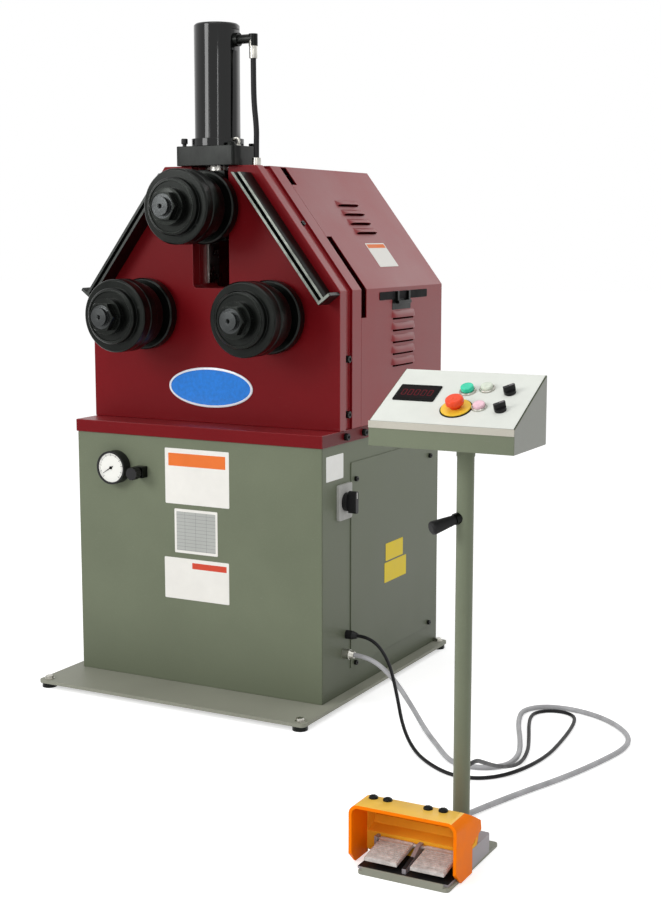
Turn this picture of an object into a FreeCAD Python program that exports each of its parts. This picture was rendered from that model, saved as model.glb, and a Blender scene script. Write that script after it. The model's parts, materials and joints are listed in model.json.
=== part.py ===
"""Angle roll bender: a three-roll section bending machine with its control stand.

The front of the machine faces -Y and +Z is up, in millimetres. The origin lies on
the floor, at the centre of the four anchor holes of the base plate. The machine
is a cabinet on a base plate with a gabled head on top. Two lower rolls turn on
shafts in the head, and the upper roll rides on a carriage that a hydraulic
cylinder pushes down. The control stand stands to the right of the machine.
"""
import FreeCAD
import Part
import math
import os

os.makedirs("parts", exist_ok=True)

V = FreeCAD.Vector

# Clearances
RUNNING = 0.08          # radial gap of a shaft in its bore
SEAT = 0.3              # gap of a curved face beside its seat
SLIDE_GAP = 0.15        # gap of a sliding face on its guide

# Base plate
plate_side = 37.0       # beyond each side of the cabinet
front_apron = 175.0     # in front of the cabinet
rear_apron = 10.0
plate_t = 10.0
plate_corner_r = 14.0
pad_h = 14.0            # foot pads under the corners
pad_r = 22.0
anchor_inset = 24.0
anchor_r = 9.0

# Cabinet
cab_w = 840.0
cab_d = 800.0
cab_top = 762.0
cab_sheet = 5.0
panel_t = 3.0
panel_front = 176.0     # front edge of the side panel behind the cabinet front
panel_len = 575.0
panel_low = 64.0
panel_h = 612.0

# Ledge that closes the cabinet and carries the head
ledge_over = 4.0
ledge_t = 37.0

# Head plates
head_over = 6.0         # beyond each side of the cabinet
head_set_back = 99.0
front_plate_t = 37.0
groove_w = 38.0
groove_deep = 9.0
back_frame_t = 58.0
shoulder_z = 1196.0
ridge_z = 1549.0
ridge_w = 314.0

# Head covers of folded sheet
cover_t = 3.0
cover_rear_over = 3.0
relief_w = 32.0         # dark relief slot behind the back frame
relief_side_h = 82.0
relief_slope_len = 190.0
relief_top_len = 66.0
louvre_h = 9.0
side_louvre_pitch = 35.5
side_louvre_count = 5
side_louvre_z = 957.0
side_louvre_y = 515.0       # middle of the louvres behind the cabinet front
side_louvre_len = 146.0
slope_louvre_pitch = 35.0
slope_louvre_count = 4
slope_louvre_first = 132.0  # down the slope from the ridge
slope_louvre_y = 506.0
slope_louvre_len = 126.0

# Rolls and shafts
shaft_edge = 210.0      # from the side of the head to the axis of a lower roll
lower_z = 1119.0
upper_z = 1430.0
shaft_r = 35.0
shaft_end_r = 26.0
collar_r = 48.0
roll_clear = 12.0       # from the face of the head plate to the rear face of a roll
roll_bore_gap = 0.05
flange_r = 106.0
flange_t = 34.0
groove_rear_r = 74.0
groove_rear_t = 24.0
groove_front_r = 94.0
groove_front_t = 42.0
disc_r = 106.0
disc_t = 72.0
disc_groove = 3.0
step_r = 81.0
step_t = 20.0
washer_r = 52.0
washer_t = 22.0
nut_af = 76.0
nut_t = 24.0
nut_bevel = 3.0
shaft_stub = 10.0
shaft_sunk = 2.0        # full shaft behind the front of the nut
centre_r = 7.0
centre_deep = 9.0
shaft_in = 126.0        # shaft length behind the face of the head plate
edge_cut = 4.0

# Carriage of the upper roll
slot_half = 62.0
gib_t = 8.0
slot_corner_r = 12.0
slot_low_gap = 8.0      # under the carriage at the end of its travel
carriage_low = 95.0     # from the roll axis down to the foot of the carriage
carriage_high = 105.0
carriage_round = 6.0
nose_proud = 6.0
travel = 130.0

# Cylinder
yoke_half_w = 98.0
yoke_half_d = 74.0
yoke_t = 56.0
yoke_round = 8.0
cyl_set_back = 145.0
cyl_r = 66.0
cyl_wall = 14.0
cyl_h = 347.0
cyl_cap_t = 22.0
cyl_cap_edge = 5.0
cyl_collar_r = 76.0
cyl_collar_t = 22.0
rod_r = 28.0
piston_t = 40.0
piston_low = 148.0      # piston above the yoke with the carriage at the top
port_down = 47.0        # from the top of the cylinder to the port
port_r = 13.0
port_flat_deep = 4.0    # flat milled into the tube
port_flat_half = 30.0
port_nut_r = 19.0
port_nut_t = 14.0
elbow_reach = 60.0
elbow_tail = 8.0
ferrule_len = 34.0
ferrule_r = 11.5
bulkhead_r = 13.0
bulkhead_h = 22.0
hose_r = 8.0
hose_foot_x = 130.0
hose_sag = 3.0

# Guide bars on the sloping edges
bar_w = 26.0
bar_t = 60.0            # proud of the head plate
bar_inset = 40.0        # from the sloping edge to the middle of the bar
bar_slot_w = 9.0
bar_tee_w = 16.0
bar_tee_deep = 9.0
bar_lip = 8.0
bar_top_z = 1528.0
bar_len = 452.0         # down the slope from the ridge to the foot
bar_foot = 10.0
bar_foot_inset = 6.0

# Pressure gauge and valve on the cabinet front
gauge_in = 142.0        # from the left side of the cabinet
gauge_down = 99.0       # from the top of the cabinet
gauge_r = 50.0
gauge_t = 34.0
gauge_bezel = 6.0
gauge_dish = 4.0
valve_beside = 94.0     # from the middle of the gauge
valve_under = 8.0
valve_body = 34.0
valve_round = 3.0
valve_reach = 26.0
valve_neck_r = 9.0
valve_neck = 8.0
valve_stem_r = 5.0
valve_stem = 22.0
valve_knob_r = 19.0
valve_knob_t = 26.0
valve_flutes = 12
valve_flute_r = 3.0

# Main switch and cable entries on the right side
switch_back = 130.0
switch_z = 594.0
switch_w = 82.0
switch_h = 104.0
switch_t = 9.0
switch_hub_r = 27.0
switch_hub_t = 12.0
switch_grip_w = 17.0
switch_grip_h = 64.0
switch_grip_t = 24.0
switch_plate_round = 7.0
switch_grip_round = 6.0
switch_stem_r = 5.0
black_entry_back = 153.0
black_entry_z = 196.0
grey_entry_back = 134.0
grey_entry_z = 143.0
entry_reach = 36.0
entry_body = 0.6        # share of the entry that is its straight body
entry_lip = 3.0         # wall of the entry round the cable
entry_lead = 49.0       # straight cable in front of an entry
black_entry_r = 13.0
grey_entry_r = 15.0

# Control stand
stand_x = 1131.0
stand_y = -982.0
pole_r = 19.0
pole_foot_r = 24.0
pole_foot_t = 6.0
console_low = 905.0
pole_collar_r = 20.5
pole_collar_t = 26.0
grommet_z = 170.0
grommet_r = 9.0
grommet_reach = 7.0
grommet_lead = 51.0         # straight cable in front of the pole
stand_base_x0 = 998.0
stand_base_w = 213.0
stand_base_front = 256.0    # base plate in front of the pole axis
stand_base_rear = 27.0
stand_base_t = 8.0
stand_base_round = 10.0
stand_lip_in = 12.0
stand_lip_h = 9.0
stand_lip_t = 5.0

# Grip handle on the pole
handle_z = 748.0
handle_side = 50.0          # from the pole axis to the middle of the grip's end
handle_front = 70.0
handle_drop = 22.0
handle_boss_r = 13.0
handle_boss = 8.0
handle_root_r = 10.5
handle_end_r = 16.0
handle_round = 7.0

# Console
console_w = 333.0
console_left = 177.5        # left of the pole axis
console_front = 117.5       # in front of the pole axis
console_rear = 73.5
console_front_h = 52.0
console_rear_h = 150.0
console_sheet = 2.0
panel_plate_t = 2.0
panel_edge = 3.0

# Controls on the console deck: across from its left end, along from its front edge
estop_across = 179.0
estop_along = 65.0
green_across = 180.0
green_along = 134.0
lamp_across = 228.0
lamp_along = 75.0
pale_across = 220.0
pale_along = 147.0
key_rear_across = 276.0
key_rear_along = 136.0
key_front_across = 278.0
key_front_along = 69.0
button_bore = 11.0
estop_r = 20.0
estop_rise = 14.0           # under the head of the button
estop_head = 14.0
estop_round = 6.0
estop_stem = 14.0           # stem under the deck
estop_collar_r = 33.0
estop_collar_t = 4.0
push_r = 14.5
push_rise = 5.5
push_head = 9.0
push_round = 3.0
stem_under = 10.0
lens_r = 13.5
lens_h = 11.0
lens_round = 4.0
key_hub_r = 13.0
key_hub_h = 7.0
key_grip_w = 8.0
key_grip_len = 27.0
key_grip_h = 12.0
key_grip_round = 3.0
key_turn = -48.0            # degrees from across the deck

# Foot switch
foot_x = 1090.0
foot_body_w = 244.0
foot_front = 252.0          # in front of the pole axis
foot_rear = 26.0            # rear face in front of the pole axis
foot_floor_back = 8.0       # floor behind the front of the body
foot_floor_t = 5.0
foot_rear_h = 42.0
foot_rear_d = 118.0
foot_round = 8.0
foot_shift = 10.0           # pedals to the right of the middle of the body
foot_gland_r = 11.0
foot_gland_reach = 10.0
divider_w = 9.0
divider_h = 26.0
divider_nose_h = 15.6
divider_back = 16.0         # divider behind the front of the body
divider_ramp = 44.0
lug_w = 7.0
lug_gap = 5.0               # beside the pedal
lug_side = 6.5              # from the right lug to the side of the body
lug_ahead = 10.0            # in front of the pedal axis
pedal_t = 8.0
pedal_len = 86.0
pedal_rise = 13.0
pedal_gap = 11.0            # from the divider to a pedal
pedal_pin_r = 4.0
pedal_pin_short = 2.0       # pin short of the middle of the divider
pedal_barrel_r = 6.0
hinge_ahead = 9.0           # pedal axis in front of the rear block
hinge_under = 8.0           # pedal axis under the top of the rear block
hood_t = 4.5
hood_low = 2.0
hood_h = 138.0
hood_corner_r = 22.0
hood_set_back = 25.0        # front edge behind the front of the body
hood_rim = 3.0              # thicker front rim
hood_rim_d = 12.0
hood_toe_back = 29.0
hood_toe_h = 28.0
hood_top_d = 69.0
hood_rear_gap = 64.0        # rearmost edge in front of the rear of the body
hood_knee_in = 4.0
hood_knee_drop = 36.0
hood_heel_drop = 58.0
hood_seat_in = 12.0
hood_cheek_d = 87.0         # foot of a cheek, from the front edge back
hood_cheek_drop = 74.0

# Cables
black_r = 5.0
grey_r = 7.0
grey_end_x = 1078.0
grey_end_z = 26.0
grey_lead = 58.0            # straight conduit behind the foot switch


# Faces that everything is placed from

plate_w = cab_w + 2 * plate_side
plate_d = front_apron + cab_d + rear_apron
plate_top = pad_h + plate_t
head_w = cab_w + 2 * head_over
lower_half_gap = head_w / 2 - shaft_edge
cab_y0 = -plate_d / 2 + front_apron
cab_y1 = cab_y0 + cab_d
ledge_top = cab_top + ledge_t
face_y = cab_y0 + head_set_back
plate_back_y = face_y + front_plate_t
frame_y = plate_back_y + groove_w
frame_back_y = frame_y + back_frame_t
cover_back_y = cab_y1 + cover_rear_over
roll_rear_y = face_y - roll_clear
cyl_y = cab_y0 + cyl_set_back
yoke_top = ridge_z + yoke_t
port_z = yoke_top + cyl_h - port_down
gauge_x = gauge_in - cab_w / 2
gauge_z = cab_top - gauge_down
valve_x = gauge_x + valve_beside
valve_z = gauge_z - valve_under
slot_low_z = upper_z - carriage_low - travel - slot_low_gap
slope_angle = math.atan2(ridge_z - shoulder_z, (head_w - ridge_w) / 2)
slope_len = math.hypot(ridge_z - shoulder_z, (head_w - ridge_w) / 2)
lug_x = foot_body_w / 2 - foot_shift - lug_side - lug_w
pedal_w = lug_x - lug_gap - pedal_gap - divider_w / 2


def box(x0, x1, y0, y1, z0, z1):
    """Block between two corners."""
    return Part.makeBox(x1 - x0, y1 - y0, z1 - z0, V(x0, y0, z0))


def rod(start, direction, radius, length):
    """Cylinder from a point along a direction."""
    return Part.makeCylinder(radius, length, start, direction)


def prism_y(points, y0, y1):
    """Outline in X and Z, extruded along Y."""
    ring = [V(x, y0, z) for x, z in points]
    face = Part.Face(Part.makePolygon(ring + [ring[0]]))
    return face.extrude(V(0, y1 - y0, 0))


def prism_x(points, x0, x1):
    """Outline in Y and Z, extruded along X."""
    ring = [V(x0, y, z) for y, z in points]
    face = Part.Face(Part.makePolygon(ring + [ring[0]]))
    return face.extrude(V(x1 - x0, 0, 0))


def hexagon_y(x, z, across, y0, y1):
    """Hexagonal prism along Y with bevelled front corners."""
    corner_r = across / math.sqrt(3)
    points = []
    for i in range(6):
        a = math.radians(60 * i)
        points.append((x + corner_r * math.cos(a), z + corner_r * math.sin(a)))
    prism = prism_y(points, y0, y1)
    cone = Part.makeCone(corner_r - nut_bevel, corner_r + (y1 - y0), y1 - y0 + nut_bevel,
                         V(x, y0, z), V(0, 1, 0))
    return prism.common(cone)


def revolve_y(profile, x, z):
    """Closed profile of (y, radius) points, turned round an axis along Y."""
    ring = [V(x + r, y, z) for y, r in profile]
    face = Part.Face(Part.makePolygon(ring + [ring[0]]))
    return face.revolve(V(x, 0, z), V(0, 1, 0), 360)


def mirror_x(shape):
    """Copy on the other side of the middle plane."""
    return shape.mirror(V(0, 0, 0), V(1, 0, 0))


def soften(shape, radius, pick):
    """Fillet the edges that pick accepts."""
    edges = [e for e in shape.Edges if pick(e)]
    return shape.makeFillet(radius, edges)


def upright(edge):
    """True for an edge that stands along Z."""
    box_of = edge.BoundBox
    return box_of.XLength < 0.01 and box_of.YLength < 0.01


def save(name, shape):
    """Write one sub-part after checking that it is one sound solid."""
    if len(shape.Solids) != 1:
        raise RuntimeError(name + " has " + str(len(shape.Solids)) + " solids")
    solid = shape.Solids[0]
    if not solid.isValid():
        raise RuntimeError(name + " is not valid")
    solid.exportStep("parts/" + name + ".step")


def build_base():
    """Floor plate on four welded foot pads, with an anchor hole through each."""
    plate = box(-plate_w / 2, plate_w / 2, -plate_d / 2, plate_d / 2, pad_h, plate_top)
    plate = soften(plate, plate_corner_r, upright)
    pads = []
    holes = []
    for sx in (-1, 1):
        for sy in (-1, 1):
            x = sx * (plate_w / 2 - anchor_inset)
            y = sy * (plate_d / 2 - anchor_inset)
            pads.append(rod(V(x, y, 0), V(0, 0, 1), pad_r, pad_h))
            holes.append(rod(V(x, y, -1), V(0, 0, 1), anchor_r, plate_top + 2))
    plate = plate.fuse(pads).removeSplitter()
    for hole in holes:
        plate = plate.cut(hole)
    save("base_plate", plate)


def build_cabinet():
    """Four standing sheets, the screwed panel on the right and the ledge on top."""
    hw = cab_w / 2
    s = cab_sheet
    front = box(-hw, hw, cab_y0, cab_y0 + s, plate_top, cab_top)
    rear = box(-hw, hw, cab_y1 - s, cab_y1, plate_top, cab_top)
    left = box(-hw, -hw + s, cab_y0 + s, cab_y1 - s, plate_top, cab_top)
    right = box(hw - s, hw, cab_y0 + s, cab_y1 - s, plate_top, cab_top)
    save("cabinet_front", front)
    save("cabinet_rear", rear)
    save("cabinet_left", left)
    save("cabinet_right", right)
    panel_y = cab_y0 + panel_front
    z0 = plate_top + panel_low
    panel = box(hw, hw + panel_t, panel_y, panel_y + panel_len, z0, z0 + panel_h)
    save("side_panel", panel)
    ledge = box(-hw - ledge_over, hw + ledge_over, cab_y0 - ledge_over,
                cab_y1 + ledge_over, cab_top, ledge_top)
    save("ledge", ledge)


def gable(inset, low):
    """House outline of the head, moved in by inset."""
    hw = head_w / 2 - inset
    half = math.tan((math.pi / 2 - slope_angle) / 2)
    cap = math.tan(slope_angle / 2)
    sh = shoulder_z - inset * half
    top = ridge_z - inset
    rw = ridge_w / 2 - inset * cap
    return [(-hw, low), (hw, low), (hw, sh), (rw, top), (-rw, top), (-hw, sh)]


def slot_cut(y0, y1):
    """Carriage slot, open at the ridge, with rounded lower corners."""
    top = ridge_z + 1
    block = box(-slot_half, slot_half, y0, y1, slot_low_z, top)
    return soften(block, slot_corner_r,
                  lambda e: e.BoundBox.XLength < 0.01 and e.BoundBox.ZLength < 0.01
                  and e.BoundBox.ZMax < slot_low_z + 1)


def shaft_bores(shape, y0, y1):
    """Bores for the two lower shafts."""
    for sx in (-1, 1):
        start = V(sx * lower_half_gap, y0, lower_z)
        shape = shape.cut(rod(start, V(0, 1, 0), shaft_r + RUNNING, y1 - y0))
    return shape


def build_head_plates():
    """Front plate, the grooved frame behind it and the guide gibs of the slot."""
    front = prism_y(gable(0, ledge_top), face_y, plate_back_y)
    front = front.cut(slot_cut(face_y - 1, plate_back_y + 1))
    front = shaft_bores(front, face_y - 1, plate_back_y + 1)
    save("head_front_plate", front)
    neck = prism_y(gable(groove_deep, ledge_top), plate_back_y, frame_y)
    back = prism_y(gable(0, ledge_top), frame_y, frame_back_y)
    frame = neck.fuse(back).removeSplitter()
    frame = frame.cut(slot_cut(plate_back_y - 1, frame_back_y + 1))
    frame = shaft_bores(frame, plate_back_y - 1, frame_back_y + 1)
    save("head_back_frame", frame)
    gib = box(-slot_half, -slot_half + gib_t, frame_y, frame_back_y,
              slot_low_z + slot_corner_r, ridge_z)
    save("gib_left", gib)
    save("gib_right", mirror_x(gib))


def build_carriage():
    """Block that slides between the gibs, with its rod and piston."""
    half = slot_half - gib_t - SLIDE_GAP
    low = upper_z - carriage_low
    high = upper_z + carriage_high
    block = box(-half, half, face_y - nose_proud, frame_back_y, low, high)
    block = soften(block, carriage_round, lambda e: e.BoundBox.XLength < 0.01
                   and e.BoundBox.ZLength < 0.01)
    bore = rod(V(0, face_y - nose_proud - 1, upper_z), V(0, 1, 0), shaft_r + RUNNING,
               frame_back_y - face_y + nose_proud + 2)
    save("carriage", block.cut(bore))
    stem = rod(V(0, cyl_y, high), V(0, 0, 1), rod_r, yoke_top + piston_low - high)
    piston = rod(V(0, cyl_y, yoke_top + piston_low), V(0, 0, 1),
                 cyl_r - cyl_wall - RUNNING, piston_t)
    save("piston_rod", stem.fuse(piston).removeSplitter())


def roll_profile():
    """Turned outline of one roll set as (y, radius) points, rear face first."""
    c = edge_cut
    bore = shaft_r + roll_bore_gap
    y = roll_rear_y
    points = [(y, bore), (y, flange_r - c), (y - c, flange_r)]
    y -= flange_t
    points += [(y + c, flange_r), (y, flange_r - c), (y, groove_rear_r)]
    y -= groove_rear_t
    points += [(y, groove_rear_r), (y, groove_front_r)]
    y -= groove_front_t
    points += [(y, groove_front_r), (y, disc_r - c), (y - c, disc_r)]
    mid = y - disc_t / 2
    g = disc_groove
    points += [(mid + g, disc_r), (mid, disc_r - g), (mid - g, disc_r)]
    y -= disc_t
    points += [(y + c, disc_r), (y, disc_r - c), (y, step_r)]
    y -= step_t
    points += [(y + c, step_r), (y, step_r - c), (y, bore)]
    return points, y


def build_roll(name, x, z):
    """Shaft, roll set and lock nut of one roll."""
    points, front = roll_profile()
    save("roll_" + name, revolve_y(points, x, z))
    washer_y = front - washer_t
    nut_y = washer_y - nut_t
    bore = shaft_r + roll_bore_gap
    washer = rod(V(x, washer_y, z), V(0, 1, 0), washer_r, washer_t)
    nut = hexagon_y(x, z, nut_af, nut_y, washer_y).fuse(washer).removeSplitter()
    nut = nut.cut(rod(V(x, nut_y - 1, z), V(0, 1, 0), bore, nut_t + washer_t + 2))
    save("nut_" + name, nut)
    end_y = face_y + shaft_in
    full_y = nut_y + shaft_sunk
    shaft = rod(V(x, full_y, z), V(0, 1, 0), shaft_r, end_y - full_y)
    stub = rod(V(x, nut_y - shaft_stub, z), V(0, 1, 0), shaft_end_r,
               shaft_stub + shaft_sunk + 1)
    collar_t = roll_clear - nose_proud - SEAT if name == "top" else roll_clear - SEAT
    collar = rod(V(x, roll_rear_y, z), V(0, 1, 0), collar_r, collar_t)
    centre = Part.makeCone(centre_r, 0.5, centre_deep, V(x, nut_y - shaft_stub, z),
                           V(0, 1, 0))
    shaft = shaft.fuse([stub, collar]).removeSplitter().cut(centre)
    save("shaft_" + name, shaft)


def build_rolls():
    """Two lower rolls in the head and the upper roll on the carriage."""
    build_roll("left", -lower_half_gap, lower_z)
    build_roll("right", lower_half_gap, lower_z)
    build_roll("top", 0.0, upper_z)


def slope_frame(shape, x_sign):
    """Lay a shape drawn along +X at the ridge corner down the sloping edge."""
    angle = math.degrees(slope_angle)
    shape.rotate(V(0, 0, 0), V(0, 1, 0), angle)
    shape.translate(V(ridge_w / 2, 0, ridge_z))
    return mirror_x(shape) if x_sign < 0 else shape


def build_guide_bars():
    """Deep steel bar with a tee slot along each sloping edge, on a foot plate."""
    start = -2 * bar_w
    end = bar_len - bar_foot
    y1 = face_y
    y0 = face_y - bar_t
    low = -bar_inset - bar_w / 2
    bar = box(start, bar_len, y0, y1, low, low + bar_w)
    mid = -bar_inset
    mouth = box(start - 1, end, y0 - 1, y0 + bar_lip + 1,
                mid - bar_slot_w / 2, mid + bar_slot_w / 2)
    tee = box(start - 1, end, y0 + bar_lip, y0 + bar_lip + bar_tee_deep,
              mid - bar_tee_w / 2, mid + bar_tee_w / 2)
    foot = box(end, bar_len, y0, y1, low, -bar_foot_inset)
    bar = bar.cut(mouth).cut(tee).fuse(foot).removeSplitter()
    bar = slope_frame(bar, 1)
    bar = bar.cut(box(0, head_w, y0 - 1, y1 + 1, bar_top_z, ridge_z + head_w))
    save("guide_bar_right", bar)
    save("guide_bar_left", mirror_x(bar))


def side_louvres():
    """Louvre openings in the upright part of the right cover."""
    y_mid = cab_y0 + side_louvre_y
    half = side_louvre_len / 2
    cuts = []
    for i in range(side_louvre_count):
        z = side_louvre_z + i * side_louvre_pitch
        cuts.append(box(head_w / 2 - cover_t - 1, head_w / 2 + 1, y_mid - half,
                        y_mid + half, z, z + louvre_h))
    return cuts


def slope_louvres():
    """Louvre openings in the sloping part of the right cover."""
    y_mid = cab_y0 + slope_louvre_y
    half = slope_louvre_len / 2
    cuts = []
    for i in range(slope_louvre_count):
        at = slope_louvre_first + i * slope_louvre_pitch
        cut = box(at, at + louvre_h, y_mid - half, y_mid + half, -cover_t - 1, 1)
        cuts.append(slope_frame(cut, 1))
    return cuts


def build_covers():
    """Folded sheet covers behind the head plates, with relief slots and louvres."""
    y0 = frame_back_y
    y1 = cover_back_y
    outer = gable(0, ledge_top)
    inner = gable(cover_t, ledge_top)
    folded = prism_y([outer[1], outer[2], outer[3], inner[3], inner[2], inner[1]],
                     y0, y1 - cover_t)
    reach = cover_t + 2.0
    y_relief = y0 + relief_w
    side_relief = box(head_w / 2 - reach, head_w / 2 + 1, y0 - 1, y_relief,
                      shoulder_z - relief_side_h, shoulder_z)
    slope_relief = box(slope_len - relief_slope_len, slope_len + reach, y0 - 1,
                       y_relief, -reach, 1)
    top_relief = box(cover_t, relief_top_len, y0 - 1, y_relief, -reach, 1)
    folded = folded.cut(side_relief)
    folded = folded.cut(slope_frame(slope_relief, 1))
    folded = folded.cut(slope_frame(top_relief, 1))
    save("cover_left", mirror_x(folded))
    for cut in side_louvres() + slope_louvres():
        folded = folded.cut(cut)
    save("cover_right", folded)
    top = prism_y([outer[4], outer[3], inner[3], inner[4]], y0, y1 - cover_t)
    save("cover_top", top)
    rear = prism_y(outer, y1 - cover_t, y1)
    save("cover_rear", rear)


def build_cylinder():
    """Yoke on the head, cylinder tube, elbow, hose and its bulkhead fitting."""
    yoke = box(-yoke_half_w, yoke_half_w, cyl_y - yoke_half_d, cyl_y + yoke_half_d,
               ridge_z, yoke_top)
    yoke = soften(yoke, yoke_round, upright)
    yoke = yoke.cut(rod(V(0, cyl_y, ridge_z - 1), V(0, 0, 1), rod_r + RUNNING,
                        yoke_t + 2))
    save("cylinder_yoke", yoke)
    top = yoke_top + cyl_h
    barrel = rod(V(0, cyl_y, yoke_top), V(0, 0, 1), cyl_r, cyl_h)
    collar = rod(V(0, cyl_y, yoke_top), V(0, 0, 1), cyl_collar_r, cyl_collar_t)
    bore = rod(V(0, cyl_y, yoke_top - 1), V(0, 0, 1), cyl_r - cyl_wall,
               cyl_h - cyl_cap_t + 1)
    tube = barrel.fuse(collar).removeSplitter().cut(bore)
    rim = [e for e in tube.Edges if e.BoundBox.ZMin > top - 0.01
           and e.BoundBox.XLength > 2 * cyl_r - 1]
    tube = tube.makeChamfer(cyl_cap_edge, rim)
    start_x = cyl_r - port_flat_deep
    flat = box(start_x, cyl_r + 1, cyl_y - port_flat_half, cyl_y + port_flat_half,
               port_z - port_flat_half, port_z + port_flat_half)
    save("cylinder_tube", tube.cut(flat))
    neck = rod(V(start_x, cyl_y, port_z), V(1, 0, 0), port_r, elbow_reach)
    end_x = start_x + elbow_reach
    drop = rod(V(end_x, cyl_y, port_z + port_r), V(0, 0, -1), port_r,
               port_r * 2 + elbow_tail)
    seat_nut = rod(V(start_x, cyl_y, port_z), V(1, 0, 0), port_nut_r, port_nut_t)
    hose_top = port_z - port_r - elbow_tail
    ferrule = rod(V(end_x, cyl_y, hose_top), V(0, 0, -1), ferrule_r, ferrule_len)
    elbow = neck.fuse([drop, seat_nut, ferrule]).removeSplitter()
    save("port_elbow", elbow)
    foot_top = ridge_z + bulkhead_h
    foot = rod(V(hose_foot_x, cyl_y, ridge_z), V(0, 0, 1), bulkhead_r, bulkhead_h)
    save("hose_bulkhead", foot)
    hose_z = hose_top - ferrule_len
    span = hose_z - foot_top
    points = [V(end_x, cyl_y, hose_z),
              V(end_x, cyl_y, hose_z - span * 0.2),
              V(end_x + hose_sag, cyl_y - hose_sag, hose_z - span * 0.45),
              V(hose_foot_x + hose_sag, cyl_y - hose_sag, hose_z - span * 0.7),
              V(hose_foot_x, cyl_y, foot_top + span * 0.12),
              V(hose_foot_x, cyl_y, foot_top)]
    save("hydraulic_hose", tube_along("hydraulic_hose", points, hose_r))


def build_gauge():
    """Pressure gauge and the needle valve beside it."""
    gauge = rod(V(gauge_x, cab_y0 - gauge_t, gauge_z), V(0, 1, 0), gauge_r, gauge_t)
    dish = rod(V(gauge_x, cab_y0 - gauge_t - 1, gauge_z), V(0, 1, 0),
               gauge_r - gauge_bezel, gauge_dish + 1)
    save("pressure_gauge", gauge.cut(dish))
    half = valve_body / 2
    body = box(valve_x - half, valve_x + half, cab_y0 - valve_reach, cab_y0,
               valve_z - half, valve_z + half)
    body = soften(body, valve_round, lambda e: e.BoundBox.XLength < 0.01
                  and e.BoundBox.ZLength < 0.01)
    neck_y = cab_y0 - valve_reach - valve_neck
    neck = rod(V(valve_x, neck_y, valve_z), V(0, 1, 0), valve_neck_r, valve_neck + 1)
    bore = rod(V(valve_x, neck_y - 1, valve_z), V(0, 1, 0), valve_stem_r + RUNNING,
               valve_stem + 1)
    save("valve_body", body.fuse(neck).removeSplitter().cut(bore))
    knob_y = neck_y - SEAT
    knob = rod(V(valve_x, knob_y - valve_knob_t, valve_z), V(0, 1, 0), valve_knob_r,
               valve_knob_t)
    ring_r = valve_knob_r + valve_flute_r / 2
    for i in range(valve_flutes):
        a = 2 * math.pi * i / valve_flutes
        cut = rod(V(valve_x + ring_r * math.cos(a), knob_y + 1,
                    valve_z + ring_r * math.sin(a)),
                  V(0, -1, 0), valve_flute_r, valve_knob_t + 2)
        knob = knob.cut(cut)
    spindle = rod(V(valve_x, knob_y - 1, valve_z), V(0, 1, 0), valve_stem_r,
                  valve_stem - 1)
    save("valve_knob", knob.fuse(spindle).removeSplitter())


def build_side_fittings():
    """Main switch and the two cable entries on the right side."""
    x = cab_w / 2
    y = cab_y0 + switch_back
    plate = box(x, x + switch_t, y - switch_w / 2, y + switch_w / 2,
                switch_z - switch_h / 2, switch_z + switch_h / 2)
    plate = soften(plate, switch_plate_round, lambda e: e.BoundBox.YLength < 0.01
                   and e.BoundBox.ZLength < 0.01)
    plate = plate.cut(rod(V(x - 1, y, switch_z), V(1, 0, 0), switch_stem_r + RUNNING,
                          switch_t + 2))
    save("switch_plate", plate)
    hub_x = x + switch_t + SEAT
    hub = rod(V(hub_x, y, switch_z), V(1, 0, 0), switch_hub_r, switch_hub_t)
    grip = box(hub_x + switch_hub_t - 1, hub_x + switch_hub_t + switch_grip_t,
               y - switch_grip_w / 2, y + switch_grip_w / 2,
               switch_z - switch_grip_h / 2, switch_z + switch_grip_h / 2)
    grip = soften(grip, switch_grip_round, lambda e: e.BoundBox.YLength < 0.01
                  and e.BoundBox.ZLength < 0.01)
    spindle = rod(V(x + 1, y, switch_z), V(1, 0, 0), switch_stem_r, switch_t + SEAT + 1)
    save("switch_knob", hub.fuse([grip, spindle]).removeSplitter())
    for name, back, z, r, cord in (
            ("black_cable_gland", black_entry_back, black_entry_z, black_entry_r,
             black_r),
            ("grey_conduit_fitting", grey_entry_back, grey_entry_z, grey_entry_r,
             grey_r)):
        at = V(x, cab_y0 + back, z)
        straight = entry_reach * entry_body
        body = rod(at, V(1, 0, 0), r, straight)
        cap = Part.makeCone(r - 1.0, cord + entry_lip, entry_reach - straight,
                            at + V(straight, 0, 0), V(1, 0, 0))
        save(name, body.fuse(cap).removeSplitter())


def build_stand():
    """Base tray, pole with its collar, and the grip handle."""
    x0 = stand_base_x0
    x1 = x0 + stand_base_w
    y0 = stand_y - stand_base_front
    y1 = stand_y + stand_base_rear
    tray = box(x0, x1, y0, y1, 0, stand_base_t)
    tray = soften(tray, stand_base_round, upright)
    lip = box(x0 + stand_lip_in, x1 - stand_lip_in, y0, y0 + stand_lip_t, 0,
              stand_base_t + stand_lip_h)
    save("stand_base", tray.fuse(lip).removeSplitter())
    pole = rod(V(stand_x, stand_y, stand_base_t), V(0, 0, 1), pole_r,
               console_low - stand_base_t)
    foot = rod(V(stand_x, stand_y, stand_base_t), V(0, 0, 1), pole_foot_r, pole_foot_t)
    collar = rod(V(stand_x, stand_y, console_low - pole_collar_t), V(0, 0, 1),
                 pole_collar_r, pole_collar_t)
    grommet = rod(V(stand_x, stand_y, grommet_z), V(0, 1, 0), grommet_r,
                  pole_r + grommet_reach)
    save("stand_pole", pole.fuse([foot, collar, grommet]).removeSplitter())


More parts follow.
